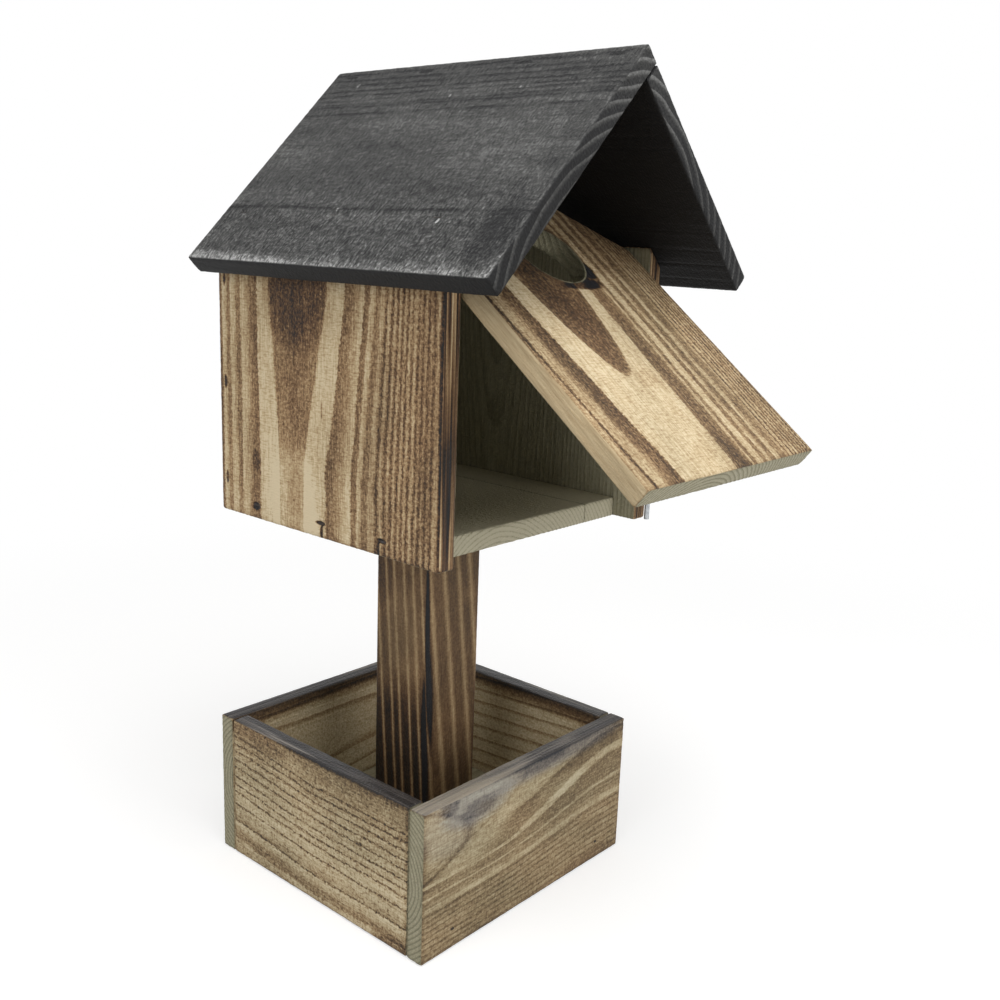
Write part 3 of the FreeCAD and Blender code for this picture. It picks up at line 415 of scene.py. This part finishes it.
def ring_lines(tree, plank, board, width=None):
    """1 on the hard, dark line that closes each ring, and 0 on the soft wood between."""
    sway = add(tree, "MULTIPLY", add(tree, "SUBTRACT", grain_noise(tree, plank, 40, 160), 0.5), 6.0)
    x, y, z = parts_of(tree, plank)
    from_x = add(tree, "SUBTRACT", x, add(tree, "MULTIPLY_ADD", y, board.drift[0], board.heart[0]))
    from_z = add(tree, "SUBTRACT", z, add(tree, "MULTIPLY_ADD", y, board.drift[1], board.heart[1]))
    square = add(tree, "MULTIPLY_ADD", from_x, from_x, add(tree, "MULTIPLY", from_z, from_z))
    rings = add(tree, "DIVIDE", add(tree, "ADD", add(tree, "SQRT", square), sway), width or board.ring)
    share = add(tree, "FRACT", rings)
    rise = add(tree, "ShaderNodeMapRange", share, 0.40, 0.86, 0.0, 1.0, interpolation_type="SMOOTHSTEP")
    fall = add(tree, "ShaderNodeMapRange", share, 0.92, 1.0, 1.0, 0.0, interpolation_type="SMOOTHSTEP")
    return add(tree, "MULTIPLY", rise, fall)


print("rings are counted from each board's heart")

# %% [markdown]
# ## Where the flame went
# The colour of charred wood is one value, how burnt a point is. It comes from the bands across the board,
# which bend along the grain as the rings do, from thin lines, and from patches where the flame stayed longer.
# The same value also tells how deep the brush went, because burnt wood is soft.

# %% Bands, lines and patches
BEND_STEPS = 3          # a band's bend depends on the place that it gives, so the place is found in steps
LINE_MARGIN = 30        # how far beyond its last lines a board's marks still reach, in mm


def ramp_over(tree, place, marks):
    """A value that follows a list of places and levels."""
    low, high = marks[0][0], marks[-1][0]
    share = add(tree, "ShaderNodeMapRange", place, low, high, 0.0, 1.0)
    stops = [((mm - low) / (high - low), (level, level, level, 1)) for mm, level in marks]
    return add(tree, "ShaderNodeValToRGB", share, stops=stops)


def patch(tree, plank, sway, middle, radii, strength=1.0):
    """A soft oval patch with a torn edge."""
    away = add(tree, "ShaderNodeVectorMath", plank, middle, operation="SUBTRACT")
    away = add(tree, "ShaderNodeVectorMath", away, radii, operation="DIVIDE")
    away = add(tree, "ShaderNodeVectorMath", away, operation="LENGTH", out="Value")
    away = add(tree, "MULTIPLY_ADD", sway, 0.04, away)
    return add(tree, "ShaderNodeMapRange", away, 0.55, 1.0, strength, 0.0, interpolation_type="SMOOTHSTEP")


def band_place(tree, plank, along, board):
    """Where a point would lie across the board if its bands ran straight."""
    low = min(level for mm, level in board.bend)
    flat = add(tree, "ShaderNodeVectorMath", plank, board.skew, operation="DOT_PRODUCT", out="Value")
    place = flat
    for _ in range(BEND_STEPS):
        bend = ramp_over(tree, place, [(mm, level - low) for mm, level in board.bend])
        place = add(tree, "MULTIPLY_ADD", along, add(tree, "ADD", bend, low), flat)
    return place


def flame(tree, plank, board):
    """How burnt a point is, and how far it lies on a thin line."""
    x, y = parts_of(tree, plank)[:2]
    start, way, limit, *easing = board.lean
    along = add(tree, "ShaderNodeMapRange", y, start, start + way * limit, 0.0, limit,
                interpolation_type=easing[0] if easing else "LINEAR")
    wave = add(tree, "SUBTRACT", grain_noise(tree, plank, 14, board.waves), 0.5)
    wave = add(tree, "MULTIPLY", wave, 1.2 + 2.0 * board.grit)
    torn = add(tree, "SUBTRACT", grain_noise(tree, plank, 1.6, 1.8), 0.5)
    sway = add(tree, "ADD", wave, add(tree, "MULTIPLY", torn, 3.4 * board.grit))
    place = add(tree, "ADD", band_place(tree, plank, along, board), sway)
    level = ramp_over(tree, place, board.bands)
    for middle, radii, even in board.calm:
        shade = add(tree, "SUBTRACT", even, level)
        shade = add(tree, "MULTIPLY", shade, patch(tree, plank, sway, middle, radii))
        level = add(tree, "ADD", level, shade)
    for (apex, tip), spread, sense, steps in board.tongues:
        side = add(tree, "SUBTRACT", x, apex)
        curve = add(tree, "DIVIDE", add(tree, "MULTIPLY", side, side), spread)
        inside = add(tree, "SUBTRACT", add(tree, "MULTIPLY", add(tree, "SUBTRACT", y, tip), sense), curve)
        inside = add(tree, "MULTIPLY_ADD", sway, 1.5, inside)
        level = add(tree, "ADD", level, ramp_over(tree, inside, steps))
    for middle, radii, strength in board.scorch:
        level = add(tree, "ADD", level, patch(tree, plank, sway, middle, radii, strength))
    if not board.lines:
        return level, add(tree, "MULTIPLY", place, 0.0)
    marks = [(board.lines[0] - LINE_MARGIN, 0.0)]
    for mm in board.lines:
        marks += [(mm - board.line[0], 0.0), (mm, 1.0), (mm + board.line[0], 0.0)]
    marks.append((board.lines[-1] + LINE_MARGIN, 0.0))
    return level, ramp_over(tree, place, marks)


def with_lines(tree, burnt, thin, board, breaks=None):
    """The burn with the thin lines drawn over it, broken where a value falls low."""
    if breaks:
        thin = add(tree, "MULTIPLY", thin, add(tree, "ShaderNodeMapRange", breaks, 0.32, 0.52, 0.45, 1.0))
    share = add(tree, "MULTIPLY", thin, board.line[2])
    return add(tree, "MULTIPLY_ADD", share, add(tree, "SUBTRACT", board.line[1], burnt), burnt)


print("bands, lines and patches of each board are read in its own axes")

# %% [markdown]
# ## The brushed surface
# Flame and brush take the soft wood away and leave the hard wood standing, and handling rounds each edge.
# A Geometry Nodes tree does this for every board: it lowers the burnt wood, roughens it, and stores where
# each point lies on the board, which way it faced, and how near it is to an edge. The materials read these
# three. A voxel remesh gives the flat faces of the construction enough points first.

# %% The brushing tree
ON_FLAT, ON_EDGE = 0.995, 0.80      # how long a blurred normal is on a flat face, and on an edge


def brushing_tree(name, board):
    """Geometry Nodes that brush a board along its grain."""
    tree = bpy.data.node_groups.new("brushed_" + name, "GeometryNodeTree")
    tree.interface.new_socket("Geometry", in_out="INPUT", socket_type="NodeSocketGeometry")
    tree.interface.new_socket("Geometry", in_out="OUTPUT", socket_type="NodeSocketGeometry")
    inputs = ("Relief", "Float"), ("Roughness", "Float"), ("Wear", "Float"), ("Finish", "Material")
    for socket, kind in inputs:
        tree.interface.new_socket(socket, in_out="INPUT", socket_type="NodeSocket" + kind)
    given = tree.nodes.new("NodeGroupInput").outputs
    plank = add(tree, "ShaderNodeVectorMath", add(tree, "GeometryNodeInputPosition"), operation="SCALE",
                sockets={"Scale": 1 / MM})
    facing = add(tree, "GeometryNodeInputNormal")
    calm = add(tree, "GeometryNodeBlurAttribute", data_type="FLOAT_VECTOR",
               sockets={"Value": facing, "Iterations": 3})
    flatness = add(tree, "ShaderNodeVectorMath", calm, operation="LENGTH", out="Value")
    arris = add(tree, "ShaderNodeMapRange", flatness, ON_FLAT, ON_EDGE, 0.0, 1.0)

    burnt, thin = flame(tree, plank, board)
    rings = ring_lines(tree, plank, board)
    face = add(tree, "ShaderNodeMapRange", parts_of(tree, calm)[2], 0.3, 0.8, 0.0, 1.0)
    crumb = grain_noise(tree, plank, 2.2, 4.0, 3.0, 0.6)
    soft = add(tree, "MULTIPLY", add(tree, "MINIMUM", with_lines(tree, burnt, thin, board), 1.0), face)
    soft = add(tree, "MAXIMUM", soft, add(tree, "MULTIPLY_ADD", rings, -0.3, 0.3))
    dip = add(tree, "MULTIPLY", soft, given["Relief"])
    rough = add(tree, "MULTIPLY", add(tree, "MULTIPLY", crumb, given["Roughness"]),
                add(tree, "MULTIPLY_ADD", soft, 0.8, 0.2))
    worn = add(tree, "MULTIPLY", add(tree, "MULTIPLY", arris, crumb), given["Wear"])
    depth = add(tree, "ADD", add(tree, "ADD", dip, rough), worn)
    offset = add(tree, "ShaderNodeVectorMath", facing, operation="SCALE",
                 sockets={"Scale": add(tree, "MULTIPLY", depth, -MM)})

    shape = given["Geometry"]
    stores = ("plank", "FLOAT_VECTOR", plank), ("side", "FLOAT_VECTOR", calm), ("arris", "FLOAT", arris)
    for store, kind, value in stores:
        shape = add(tree, "GeometryNodeStoreNamedAttribute", data_type=kind, domain="POINT",
                    sockets={"Geometry": shape, "Name": store, "Value": value})
    shape = add(tree, "GeometryNodeSetPosition", sockets={"Geometry": shape, "Offset": offset})
    shape = add(tree, "GeometryNodeRealizeInstances", sockets={"Geometry": shape})
    shape = add(tree, "GeometryNodeSetMaterial", sockets={"Geometry": shape, "Material": given["Finish"]})
    add(tree, "NodeGroupOutput", shape)
    return tree


print("a brushing tree takes relief, roughness, wear and a finish")

# %% Brushing a board
VOXEL = 1.1 * MM
WELD = 1e-6             # points of the construction this near to each other are one


def plain_mesh(made, name):
    """A plain mesh of an object as its modifiers leave it."""
    graph = bpy.context.evaluated_depsgraph_get()
    mesh = bpy.data.meshes.new_from_object(made.evaluated_get(graph))
    mesh.name = name
    return mesh


def brush(name, board, finish, relief, roughness, wear):
    """Makes the dressed board that stands for a board of the construction. Depths are in mm."""
    axes = board_axes(name, board)
    form = bmesh.new()
    form.from_mesh(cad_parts[name].data)
    bmesh.ops.remove_doubles(form, verts=form.verts, dist=WELD)
    form.transform(axes.inverted())
    mesh = bpy.data.meshes.new(name + "_blank")
    form.to_mesh(mesh)
    form.free()
    made = bpy.data.objects.new(name + "_wood", mesh)
    bpy.context.collection.objects.link(made)
    remesh = made.modifiers.new("fine", "REMESH")
    remesh.mode = "VOXEL"
    remesh.voxel_size = VOXEL
    brushed = made.modifiers.new("brushed", "NODES")
    brushed.node_group = brushing_tree(name, board)
    given = {"Relief": relief, "Roughness": roughness, "Wear": wear, "Finish": finish}
    for item in brushed.node_group.interface.items_tree:
        if item.name in given:
            brushed[item.identifier] = given[item.name]
    made.data = plain_mesh(made, name + "_wood")
    made.modifiers.clear()
    made.data.transform(axes)
    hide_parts(name)
    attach(made, board.body)
    return made


print("voxel mm", VOXEL / MM)

# %% [markdown]
# ## Charred and brushed spruce
# The value of the flame is read through a palette, from cream over brown to black, and where the wood went
# grey with the weather through a second one. Brushed soft wood is gritty, with pale crumbs on brown, while
# the pale hard wood keeps fine ripples from the planer across its grain. Cut ends and the inside of the house
# were never scorched: they are grey-green spruce with its ring lines. The planter's inner faces were only
# singed.

# %% Palettes
BURNT = [(0.0, "#dccbaa"), (0.14, "#c8b28d"), (0.32, "#a98c68"), (0.48, "#84684b"), (0.62, "#634a34"),
         (0.78, "#453224"), (0.9, "#2b211a"), (1.0, "#1a1614"), (1.15, "#191a1c")]
GREYED = [(0.0, "#cdc2a5"), (0.14, "#bcb092"), (0.32, "#978869"), (0.48, "#75644a"), (0.62, "#584a36"),
          (0.78, "#3e3427"), (0.9, "#2b2620"), (1.0, "#242221"), (1.15, "#2c2b2d")]
SMOKED = [(0.0, "#b4b0a2"), (0.25, "#999388"), (0.5, "#77716b"), (0.75, "#4e4c4c"), (1.0, "#2c2e32")]
RIM = [(0.0, "#a29889"), (0.35, "#7d7770"), (0.6, "#4b4643"), (1.0, "#2a2727")]
BARE = [(0.0, "#bab39b"), (0.15, "#aaa48c"), (0.4, "#8f8a72"), (0.75, "#6d6955"), (1.0, "#474433")]
STAIN = [(0.0, "#0a0a0a"), (0.25, "#1d1d1e"), (0.5, "#40403f"), (0.75, "#6d6d6c"), (1.0, "#aeaead")]


def palette(tree, value, stops):
    """Reads a value through a list of colours."""
    last = stops[-1][0]
    share = add(tree, "DIVIDE", value, last)
    colours = [(place / last, paint(code)) for place, code in stops]
    return add(tree, "ShaderNodeValToRGB", share, stops=colours)


print("from pale to burnt", BURNT[0][1], "to", BURNT[-1][1])

# %% What every wood finish reads
# An end or a rim starts where the normal leans that way by the first share, and is whole at the second.
TURNED = (0.55, 0.75)
DRY_SHINE = 0.22        # specular level of dry wood
SPRUCE_NOISES = {       # how wide and how long in mm, and how much detail
    "fibre": (0.8, 12.0, 2.0), "crumb": (1.1, 1.4, 1.5), "ripple": (5.0, 0.8, 1.0), "cloud": (30, 60, 2.0)}
STAIN_NOISES = {
    "crumb": (1.4, 1.0, 1.0), "tick": (4.5, 1.2, 1.0), "fibre": (1.6, 9.0, 2.0), "rows": (7.0, 1.2, 2.0),
    "cloud": (16, 110, 2.0), "patchy": (9, 26, 1.0)}


def read_wood(tree, board, noises):
    """What the brushing stored at a point, how it was burnt, its rings, and the noises of its finish."""
    plank = add(tree, "ShaderNodeAttribute", attribute_name="plank", out="Vector")
    side = add(tree, "ShaderNodeAttribute", attribute_name="side", out="Vector")
    wood = SimpleNamespace(plank=plank, rings=ring_lines(tree, plank, board))
    wood.arris = add(tree, "ShaderNodeAttribute", attribute_name="arris", out="Fac")
    wood.x, wood.y = parts_of(tree, plank)[:2]
    wood.across, along, wood.out = parts_of(tree, side)
    wood.on_end = add(tree, "ShaderNodeMapRange", add(tree, "ABSOLUTE", along), *TURNED, 0.0, 1.0)
    wood.burnt, wood.thin = flame(tree, plank, board)
    for key, (wide, long, detail) in noises.items():
        setattr(wood, key, grain_noise(tree, plank, wide, long, detail))
    return wood


def dry_surface(tree, colour, shine, height, depth):
    """Ends a material as dry wood with a fine relief of so many mm."""
    bump = add(tree, "ShaderNodeBump", sockets={"Height": height, "Strength": 0.7, "Distance": depth * MM})
    skin = add(tree, "ShaderNodeBsdfPrincipled", sockets={
        "Base Color": colour, "Roughness": shine, "Normal": bump, "Specular IOR Level": DRY_SHINE})
    add(tree, "ShaderNodeOutputMaterial", skin)


print("noises of the spruce", [*SPRUCE_NOISES], "and of the stain", [*STAIN_NOISES])

# %% How the burn breaks up
def brushed_burn(tree, wood, board):
    """The burn with lines, crumbs, fibres, ripples and flecks, and the plain burn up to 0.7."""
    burn = with_lines(tree, wood.burnt, wood.thin, board, wood.crumb if board.line[1] > 0.7 else None)
    part = add(tree, "MINIMUM", add(tree, "MAXIMUM", burn, 0.0), 0.7)
    rough = add(tree, "MULTIPLY", add(tree, "MULTIPLY_ADD", part, 1.35, 0.3), board.grit)
    burn = vary(tree, burn, wood.crumb, rough)
    burn = vary(tree, burn, wood.fibre, 0.2 + 0.35 * board.grit)
    waves = add(tree, "ShaderNodeMapRange", wood.ripple, 0.46, 0.72, 0.0, 0.2 * board.grit)
    burn = add(tree, "MULTIPLY_ADD", waves, add(tree, "SUBTRACT", 1.0, part), burn)
    if board.fleck:
        fleck = grain_noise(tree, wood.plank, 1.5, 2.6, 1.0)
        burn = add(tree, "ADD", burn, add(tree, "ShaderNodeMapRange", fleck, 0.55, 0.67, 0.0, board.fleck))
    burn = vary(tree, burn, wood.cloud, 0.3)
    return add(tree, "MULTIPLY_ADD", add(tree, "MULTIPLY", wood.arris, wood.cloud), 0.5, burn), part


def other_faces(tree, wood, name, board, burn):
    """The burn with the planter's singed inside, the panels' streaked edges and the flap's planed ones."""
    if board.inner:
        singed = add(tree, "ShaderNodeMapRange", wood.x, 33, 45, board.inner, 0.85)
        curves = add(tree, "POWER", ring_lines(tree, wood.plank, board, 8.5), 3.0)
        inner = vary(tree, add(tree, "MULTIPLY_ADD", curves, 0.22, singed), wood.crumb, 0.6)
        burn = add(tree, "ShaderNodeMix", wood.on_back, sockets={2: burn, 3: inner})
    on_side = add(tree, "ShaderNodeMapRange", add(tree, "ABSOLUTE", wood.across), 0.6, 0.8, 0.0, 1.0)
    if "side_panel" in name:
        streaks = add(tree, "MULTIPLY_ADD", grain_noise(tree, wood.plank, 1.7, 90, 1.0), 2.6, -0.68)
        streaks = vary(tree, streaks, wood.cloud, 0.8)
        burn = add(tree, "ShaderNodeMix", add(tree, "MULTIPLY", on_side, 0.8), sockets={2: burn, 3: streaks})
    if name == "front_flap":
        planed = add(tree, "MULTIPLY_ADD", wood.cloud, 0.2, -0.05)
        planed = add(tree, "MULTIPLY_ADD", wood.fibre, 0.3, planed)
        burn = add(tree, "ShaderNodeMix", on_side, sockets={2: burn, 3: planed})
    return burn


print("the burn is broken up by crumbs, fibres and ripples")

# %% The colours of scorched and bare wood
def scorched_colour(tree, wood, name, board, burn):
    """The colour of a burn, greyed in clouds, with grey soot and the handled rim of the planter."""
    warm, cool = palette(tree, burn, BURNT), palette(tree, burn, GREYED)
    grey = vary(tree, board.grey, wood.cloud, 1.2)
    colour = add(tree, "ShaderNodeMix", grey, sockets={6: warm, 7: cool}, data_type="RGBA", out=2)
    if board.smoke:
        torn = add(tree, "SUBTRACT", add(tree, "ADD", wood.crumb, wood.fibre), 1.0)
        torn = add(tree, "MULTIPLY", torn, 6.0)
        soot = 0.0
        for middle, radii, strength in board.smoke:
            soot = add(tree, "ADD", soot, patch(tree, wood.plank, torn, middle, radii, strength))
        smoked = palette(tree, burn, SMOKED)
        colour = add(tree, "ShaderNodeMix", soot, sockets={6: colour, 7: smoked}, data_type="RGBA", out=2)
    if board.inner:
        streak = add(tree, "MULTIPLY_ADD", grain_noise(tree, wood.plank, 1.8, 70, 1.0), 2.4, -0.95)
        start = -0.24
        if name == "planter_front_board":
            streak = add(tree, "MULTIPLY_ADD", streak, 0.6, 0.1)
            start = add(tree, "ShaderNodeMapRange", wood.y, -70, 10, -0.45, -0.86)
        smudge = add(tree, "MULTIPLY_ADD", wood.cloud, 1.3, add(tree, "MULTIPLY_ADD", wood.crumb, 0.3, start))
        rim = palette(tree, add(tree, "ADD", streak, smudge), RIM)
        on_rim = add(tree, "ShaderNodeMapRange", wood.across, *TURNED, 0.0, 1.0)
        colour = add(tree, "ShaderNodeMix", on_rim, sockets={6: colour, 7: rim}, data_type="RGBA", out=2)
    return colour


def bare_colour(tree, wood, name, board):
    """How bare of char a point is, and the colour of bare wood there."""
    plain = add(tree, "MULTIPLY", wood.rings, add(tree, "MULTIPLY_ADD", wood.on_end, 0.18, 0.14))
    grain = add(tree, "MULTIPLY_ADD", wood.fibre, 0.5, add(tree, "MULTIPLY", wood.crumb, 0.3))
    plain = add(tree, "SUBTRACT", add(tree, "ADD", plain, grain), 0.15)
    plain = add(tree, "SUBTRACT", add(tree, "MULTIPLY_ADD", wood.arris, 0.3, plain), board.bare)
    unburnt = wood.on_end
    if name != "post" and not board.inner:
        unburnt = add(tree, "MAXIMUM", wood.on_end, wood.on_back)
    if "floor" in name:
        unburnt = add(tree, "ADD", wood.on_end, 1.0)
        plain = add(tree, "MULTIPLY_ADD", wood.thin, 0.7, plain)
    if board.bore:
        x, y, radius = board.bore
        away = add(tree, "ShaderNodeVectorMath", wood.plank, (x, y, 0), operation="SUBTRACT")
        away = add(tree, "ShaderNodeVectorMath", away, (1, 1, 0), operation="MULTIPLY")
        away = add(tree, "ShaderNodeVectorMath", away, operation="LENGTH", out="Value")
        wall = add(tree, "ShaderNodeMapRange", away, radius + 0.4, radius + 1.0, 1.0, 0.0)
        unburnt = add(tree, "MAXIMUM", unburnt, wall)
        plain = add(tree, "MULTIPLY_ADD", wall, add(tree, "MULTIPLY_ADD", wood.cloud, 1.2, -0.2), plain)
    return unburnt, palette(tree, plain, BARE)


print("grey soot on", [name for name, board in BOARDS.items() if board.smoke])

# %% The charred finish
RIM_SHINE = 0.22        # how much smoother the planter's handled rim is
SPRUCE_RELIEF = 0.6     # in mm


def charred_spruce(name, board):
    """Spruce that was scorched with a flame and brushed, bare on its ends and inside the house."""
    made, tree = new_material("charred_spruce_" + name)
    wood = read_wood(tree, board, SPRUCE_NOISES)
    wood.on_back = add(tree, "ShaderNodeMapRange", wood.out, -0.45, -0.75, 0.0, 1.0)
    burn, part = brushed_burn(tree, wood, board)
    burn = other_faces(tree, wood, name, board, burn)
    scorched = scorched_colour(tree, wood, name, board, burn)
    unburnt, bare = bare_colour(tree, wood, name, board)
    colour = add(tree, "ShaderNodeMix", unburnt, sockets={6: scorched, 7: bare}, data_type="RGBA", out=2)

    height = add(tree, "MULTIPLY_ADD", part, 1.6, 0.3)
    height = add(tree, "MULTIPLY_ADD", wood.crumb, height, add(tree, "MULTIPLY", wood.fibre, 0.6))
    height = add(tree, "MULTIPLY_ADD", wood.ripple, -0.4, height)
    shine = add(tree, "ShaderNodeMapRange", burn, 0.0, 1.0, 0.78, 0.55)
    gloss = add(tree, "ShaderNodeMapRange", wood.across, *TURNED, 0.0, RIM_SHINE if board.inner else 0.0)
    shine = add(tree, "MULTIPLY_ADD", gloss, -1.0, shine)
    dry_surface(tree, colour, shine, height, SPRUCE_RELIEF)
    return made


faces = 0
for name, board in BOARDS.items():
    made = brush(name, board, charred_spruce(name, board), relief=0.35, roughness=0.5, wear=0.35)
    faces += len(made.data.polygons)
print("dressed boards", len(BOARDS), "faces", faces)

# %% [markdown]
# ## The stained roof
# The roof boards are rough from the saw and stained charcoal. The stain sinks into the soft wood and wears
# off the raised fibres, so the eye sees a dark grey with small paler and darker ticks, close dark ring lines
# near the ridge, and rows of saw marks across the grain, which are roughest towards the eave.

# %% Roof boards
# On both boards the bands next to the eave are paler: the stain is worn thin there by handling, and the sheen
# of the handled edge is painted in as a paler tone.
ROOF = {
    "left_roof_board": Board(
        BACK, LEFT_SLOPE, heart=(-20, -90), drift=(0.02, 0.08), ring=6.0,
        bands=[(-79, 0.66), (-76, 0.70), (-72, 0.6), (-69, 0.49), (-38, 0.47), (-36.6, 0.36), (-34, 0.47),
               (-20, 0.465), (30, 0.48), (42, 0.47), (44, 0.42), (47, 0.48), (79, 0.46)],
        lines=[-37.5, 37, 43.5, 46, 49.5, 53, 57, 62, 66.5, 72], line=(1.4, 0.10, 0.9),
        tongues=[((-8, -14), 4.0, -1, [(-14, 0.0), (-3, -0.08), (2, 0.07), (30, 0.07), (90, 0.05)]),
                 ((-12, 22), 9.0, -1, [(-4, 0.0), (0, 0.04), (30, 0.0)])],
        scorch=[((-54, -98, 6), (30, 14, 20), -0.2), ((14, -104, 6), (30, 12, 20), -0.08),
                ((-78, 80, 6), (8, 70, 9), 0.14), ((63, 83, 6), (2.0, 1.4, 4), 0.4),
                ((-38, 18, 6), (1.6, 1.0, 4), 0.7), ((-44, -58, 6), (2.2, 1.2, 4), 0.6),
                ((48, -1, 6), (1.6, 0.9, 4), 0.35), ((51, -48, 6), (1.4, 1.0, 4), 0.35),
                # The four dark ticks at x 71 are painted shade in the slits of the ridge staples.
                ((-35, -81, 6), (1.4, 0.9, 4), 0.35), ((71, 95, 6), (1.6, 6, 4), -0.4),
                ((71, 33, 6), (1.8, 7, 4), -0.4), ((71, -38, 6), (1.6, 7, 4), -0.4),
                ((71, -97, 6), (1.6, 6, 4), -0.4)]),
    "right_roof_board": Board(
        FRONT, RIGHT_SLOPE, heart=(25, -80), drift=(0.02, 0.06), ring=6.0, lean=(0, 1, 110),
        bend=[(-78, 0.0), (0, 0.05), (78, 0.02)],
        bands=[(-79, 0.62), (-75, 0.64), (-70, 0.48), (-30, 0.44), (-8, 0.4), (-6, 0.5), (26, 0.5),
               (30, 0.4), (78, 0.42)],
        lines=[-62, -50, -38, -24, 34, 41, 49, 57, 66, 73], line=(1.4, 0.10, 1.0),
        tongues=[((6, -30), 7.0, 1, [(-4, 0.0), (-1, -0.08), (2, 0.06), (60, 0.02)])]),
}
print("roof boards", [*ROOF])

# %% The charcoal stain
STAIN_SHINE = 0.66
STAIN_RELIEF = 0.8      # in mm


def charcoal_stain(name, board):
    """Rough sawn spruce under a charcoal stain."""
    made, tree = new_material("charcoal_stain_" + name)
    wood = read_wood(tree, board, STAIN_NOISES)
    rough = add(tree, "ShaderNodeMapRange", wood.x, -10, -45, 0.6, 1.1)
    thin = add(tree, "ShaderNodeMapRange", wood.patchy, 0.38, 0.58, 0.25, 1.0)
    thin = add(tree, "MULTIPLY", wood.thin, thin)
    shade = with_lines(tree, wood.burnt, thin, board, wood.crumb)
    for noise, strength in ((wood.crumb, 0.8), (wood.tick, 0.4)):
        shade = vary(tree, shade, noise, add(tree, "MULTIPLY", rough, strength))
    sawn = add(tree, "ShaderNodeMapRange", wood.rows, 0.52, 0.7, 0.0, -0.26)
    shade = add(tree, "MULTIPLY_ADD", sawn, rough, shade)
    shade = vary(tree, vary(tree, shade, wood.fibre, 0.35), wood.cloud, 0.4)
    shade = add(tree, "MULTIPLY_ADD", wood.arris, 0.18, shade)
    on_face = add(tree, "ShaderNodeMapRange", wood.out, 0.4, 0.8, 0.0, 1.0)
    # Away from the face, the underside and the long edges of a roof board are painted near black as painted
    # shade under the roof, while the ends keep their own tone.
    low = add(tree, "MULTIPLY_ADD", wood.fibre, 0.15, 0.03)
    end_tone = add(tree, "MULTIPLY_ADD", wood.crumb, 0.4, -0.1)
    end_tone = add(tree, "MULTIPLY_ADD", wood.rings, 0.36, end_tone)
    end_tone = add(tree, "ADD", end_tone, add(tree, "ShaderNodeMapRange", wood.x, 0, 70, 0.04, 0.27))
    ends_and_painted_shade = add(tree, "ShaderNodeMix", wood.on_end, sockets={2: low, 3: end_tone})
    shade = add(tree, "ShaderNodeMix", on_face, sockets={2: ends_and_painted_shade, 3: shade})
    height = add(tree, "MULTIPLY_ADD", wood.crumb, 1.0, add(tree, "MULTIPLY", thin, -0.8))
    height = add(tree, "MULTIPLY_ADD", wood.tick, 0.3, height)
    dry_surface(tree, palette(tree, shade, STAIN), STAIN_SHINE, height, STAIN_RELIEF)
    return made


for name, board in ROOF.items():
    made = brush(name, board, charcoal_stain(name, board), relief=0.2, roughness=0.45, wear=0.5)
    print(made.name, len(made.data.polygons), "faces")

# %% [markdown]
# ## Zinc-plated steel
# Staples, brads, screws, pivot nails and the hook are steel with a thin grey coat of zinc. It looks cloudy
# rather than bright, with slightly different grey in each crystal patch. The flame went over the heads in the
# scorched boards and took the zinc off, so those are dark, with brown and blue patches of scale.

# %% The metal pieces
def steel(name, colours, gloss, metallic):
    """Steel in cloudy patches, half matt."""
    made, tree = new_material(name)
    place = add(tree, "ShaderNodeTexCoord", out="Object")
    patches = add(tree, "ShaderNodeTexVoronoi", sockets={"Vector": place, "Scale": 700.0}, out="Color")
    grey = add(tree, "ShaderNodeSeparateColor", patches)
    cloud = add(tree, "ShaderNodeTexNoise", sockets={"Vector": place, "Scale": 400.0, "Detail": 3.0})
    tone = add(tree, "ADD", add(tree, "MULTIPLY", grey, 0.4), add(tree, "MULTIPLY", cloud, 0.6))
    colour = palette(tree, tone, colours)
    rough = add(tree, "ShaderNodeMapRange", cloud, 0.3, 0.7, *gloss)
    skin = add(tree, "ShaderNodeBsdfPrincipled",
               sockets={"Base Color": colour, "Roughness": rough, "Metallic": metallic})
    add(tree, "ShaderNodeOutputMaterial", skin)
    return made


BRIGHT = [(0.2, "#85888b"), (0.8, "#b9bcbe")]
SCALE = [(0.2, "#231f1d"), (0.5, "#3a2f27"), (0.8, "#43474e")]
zinc = steel("zinc_plated_steel", BRIGHT, gloss=(0.28, 0.5), metallic=1.0)
scaled = steel("flame_blackened_steel", SCALE, gloss=(0.5, 0.75), metallic=0.35)
BLACKENED = ("planter_corner_brads", "planter_floor_brads", "back_panel_brads", "left_floor_staples",
             "right_floor_staples", "ridge_staples", "left_roof_staples", "right_roof_staples")
metal_nodes = [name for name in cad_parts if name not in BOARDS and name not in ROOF]
for name in metal_nodes:
    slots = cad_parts[name].data.materials
    slots.clear()
    slots.append(scaled if name in BLACKENED else zinc)
print("metal nodes", len(metal_nodes), "of them blackened", len(BLACKENED))

# %% [markdown]
# ## Finish
# The dressed object has to keep the construction's size. The colours are shown through the Standard view
# transform.

# %% The view transform
bpy.context.scene.view_settings.view_transform = "Standard"
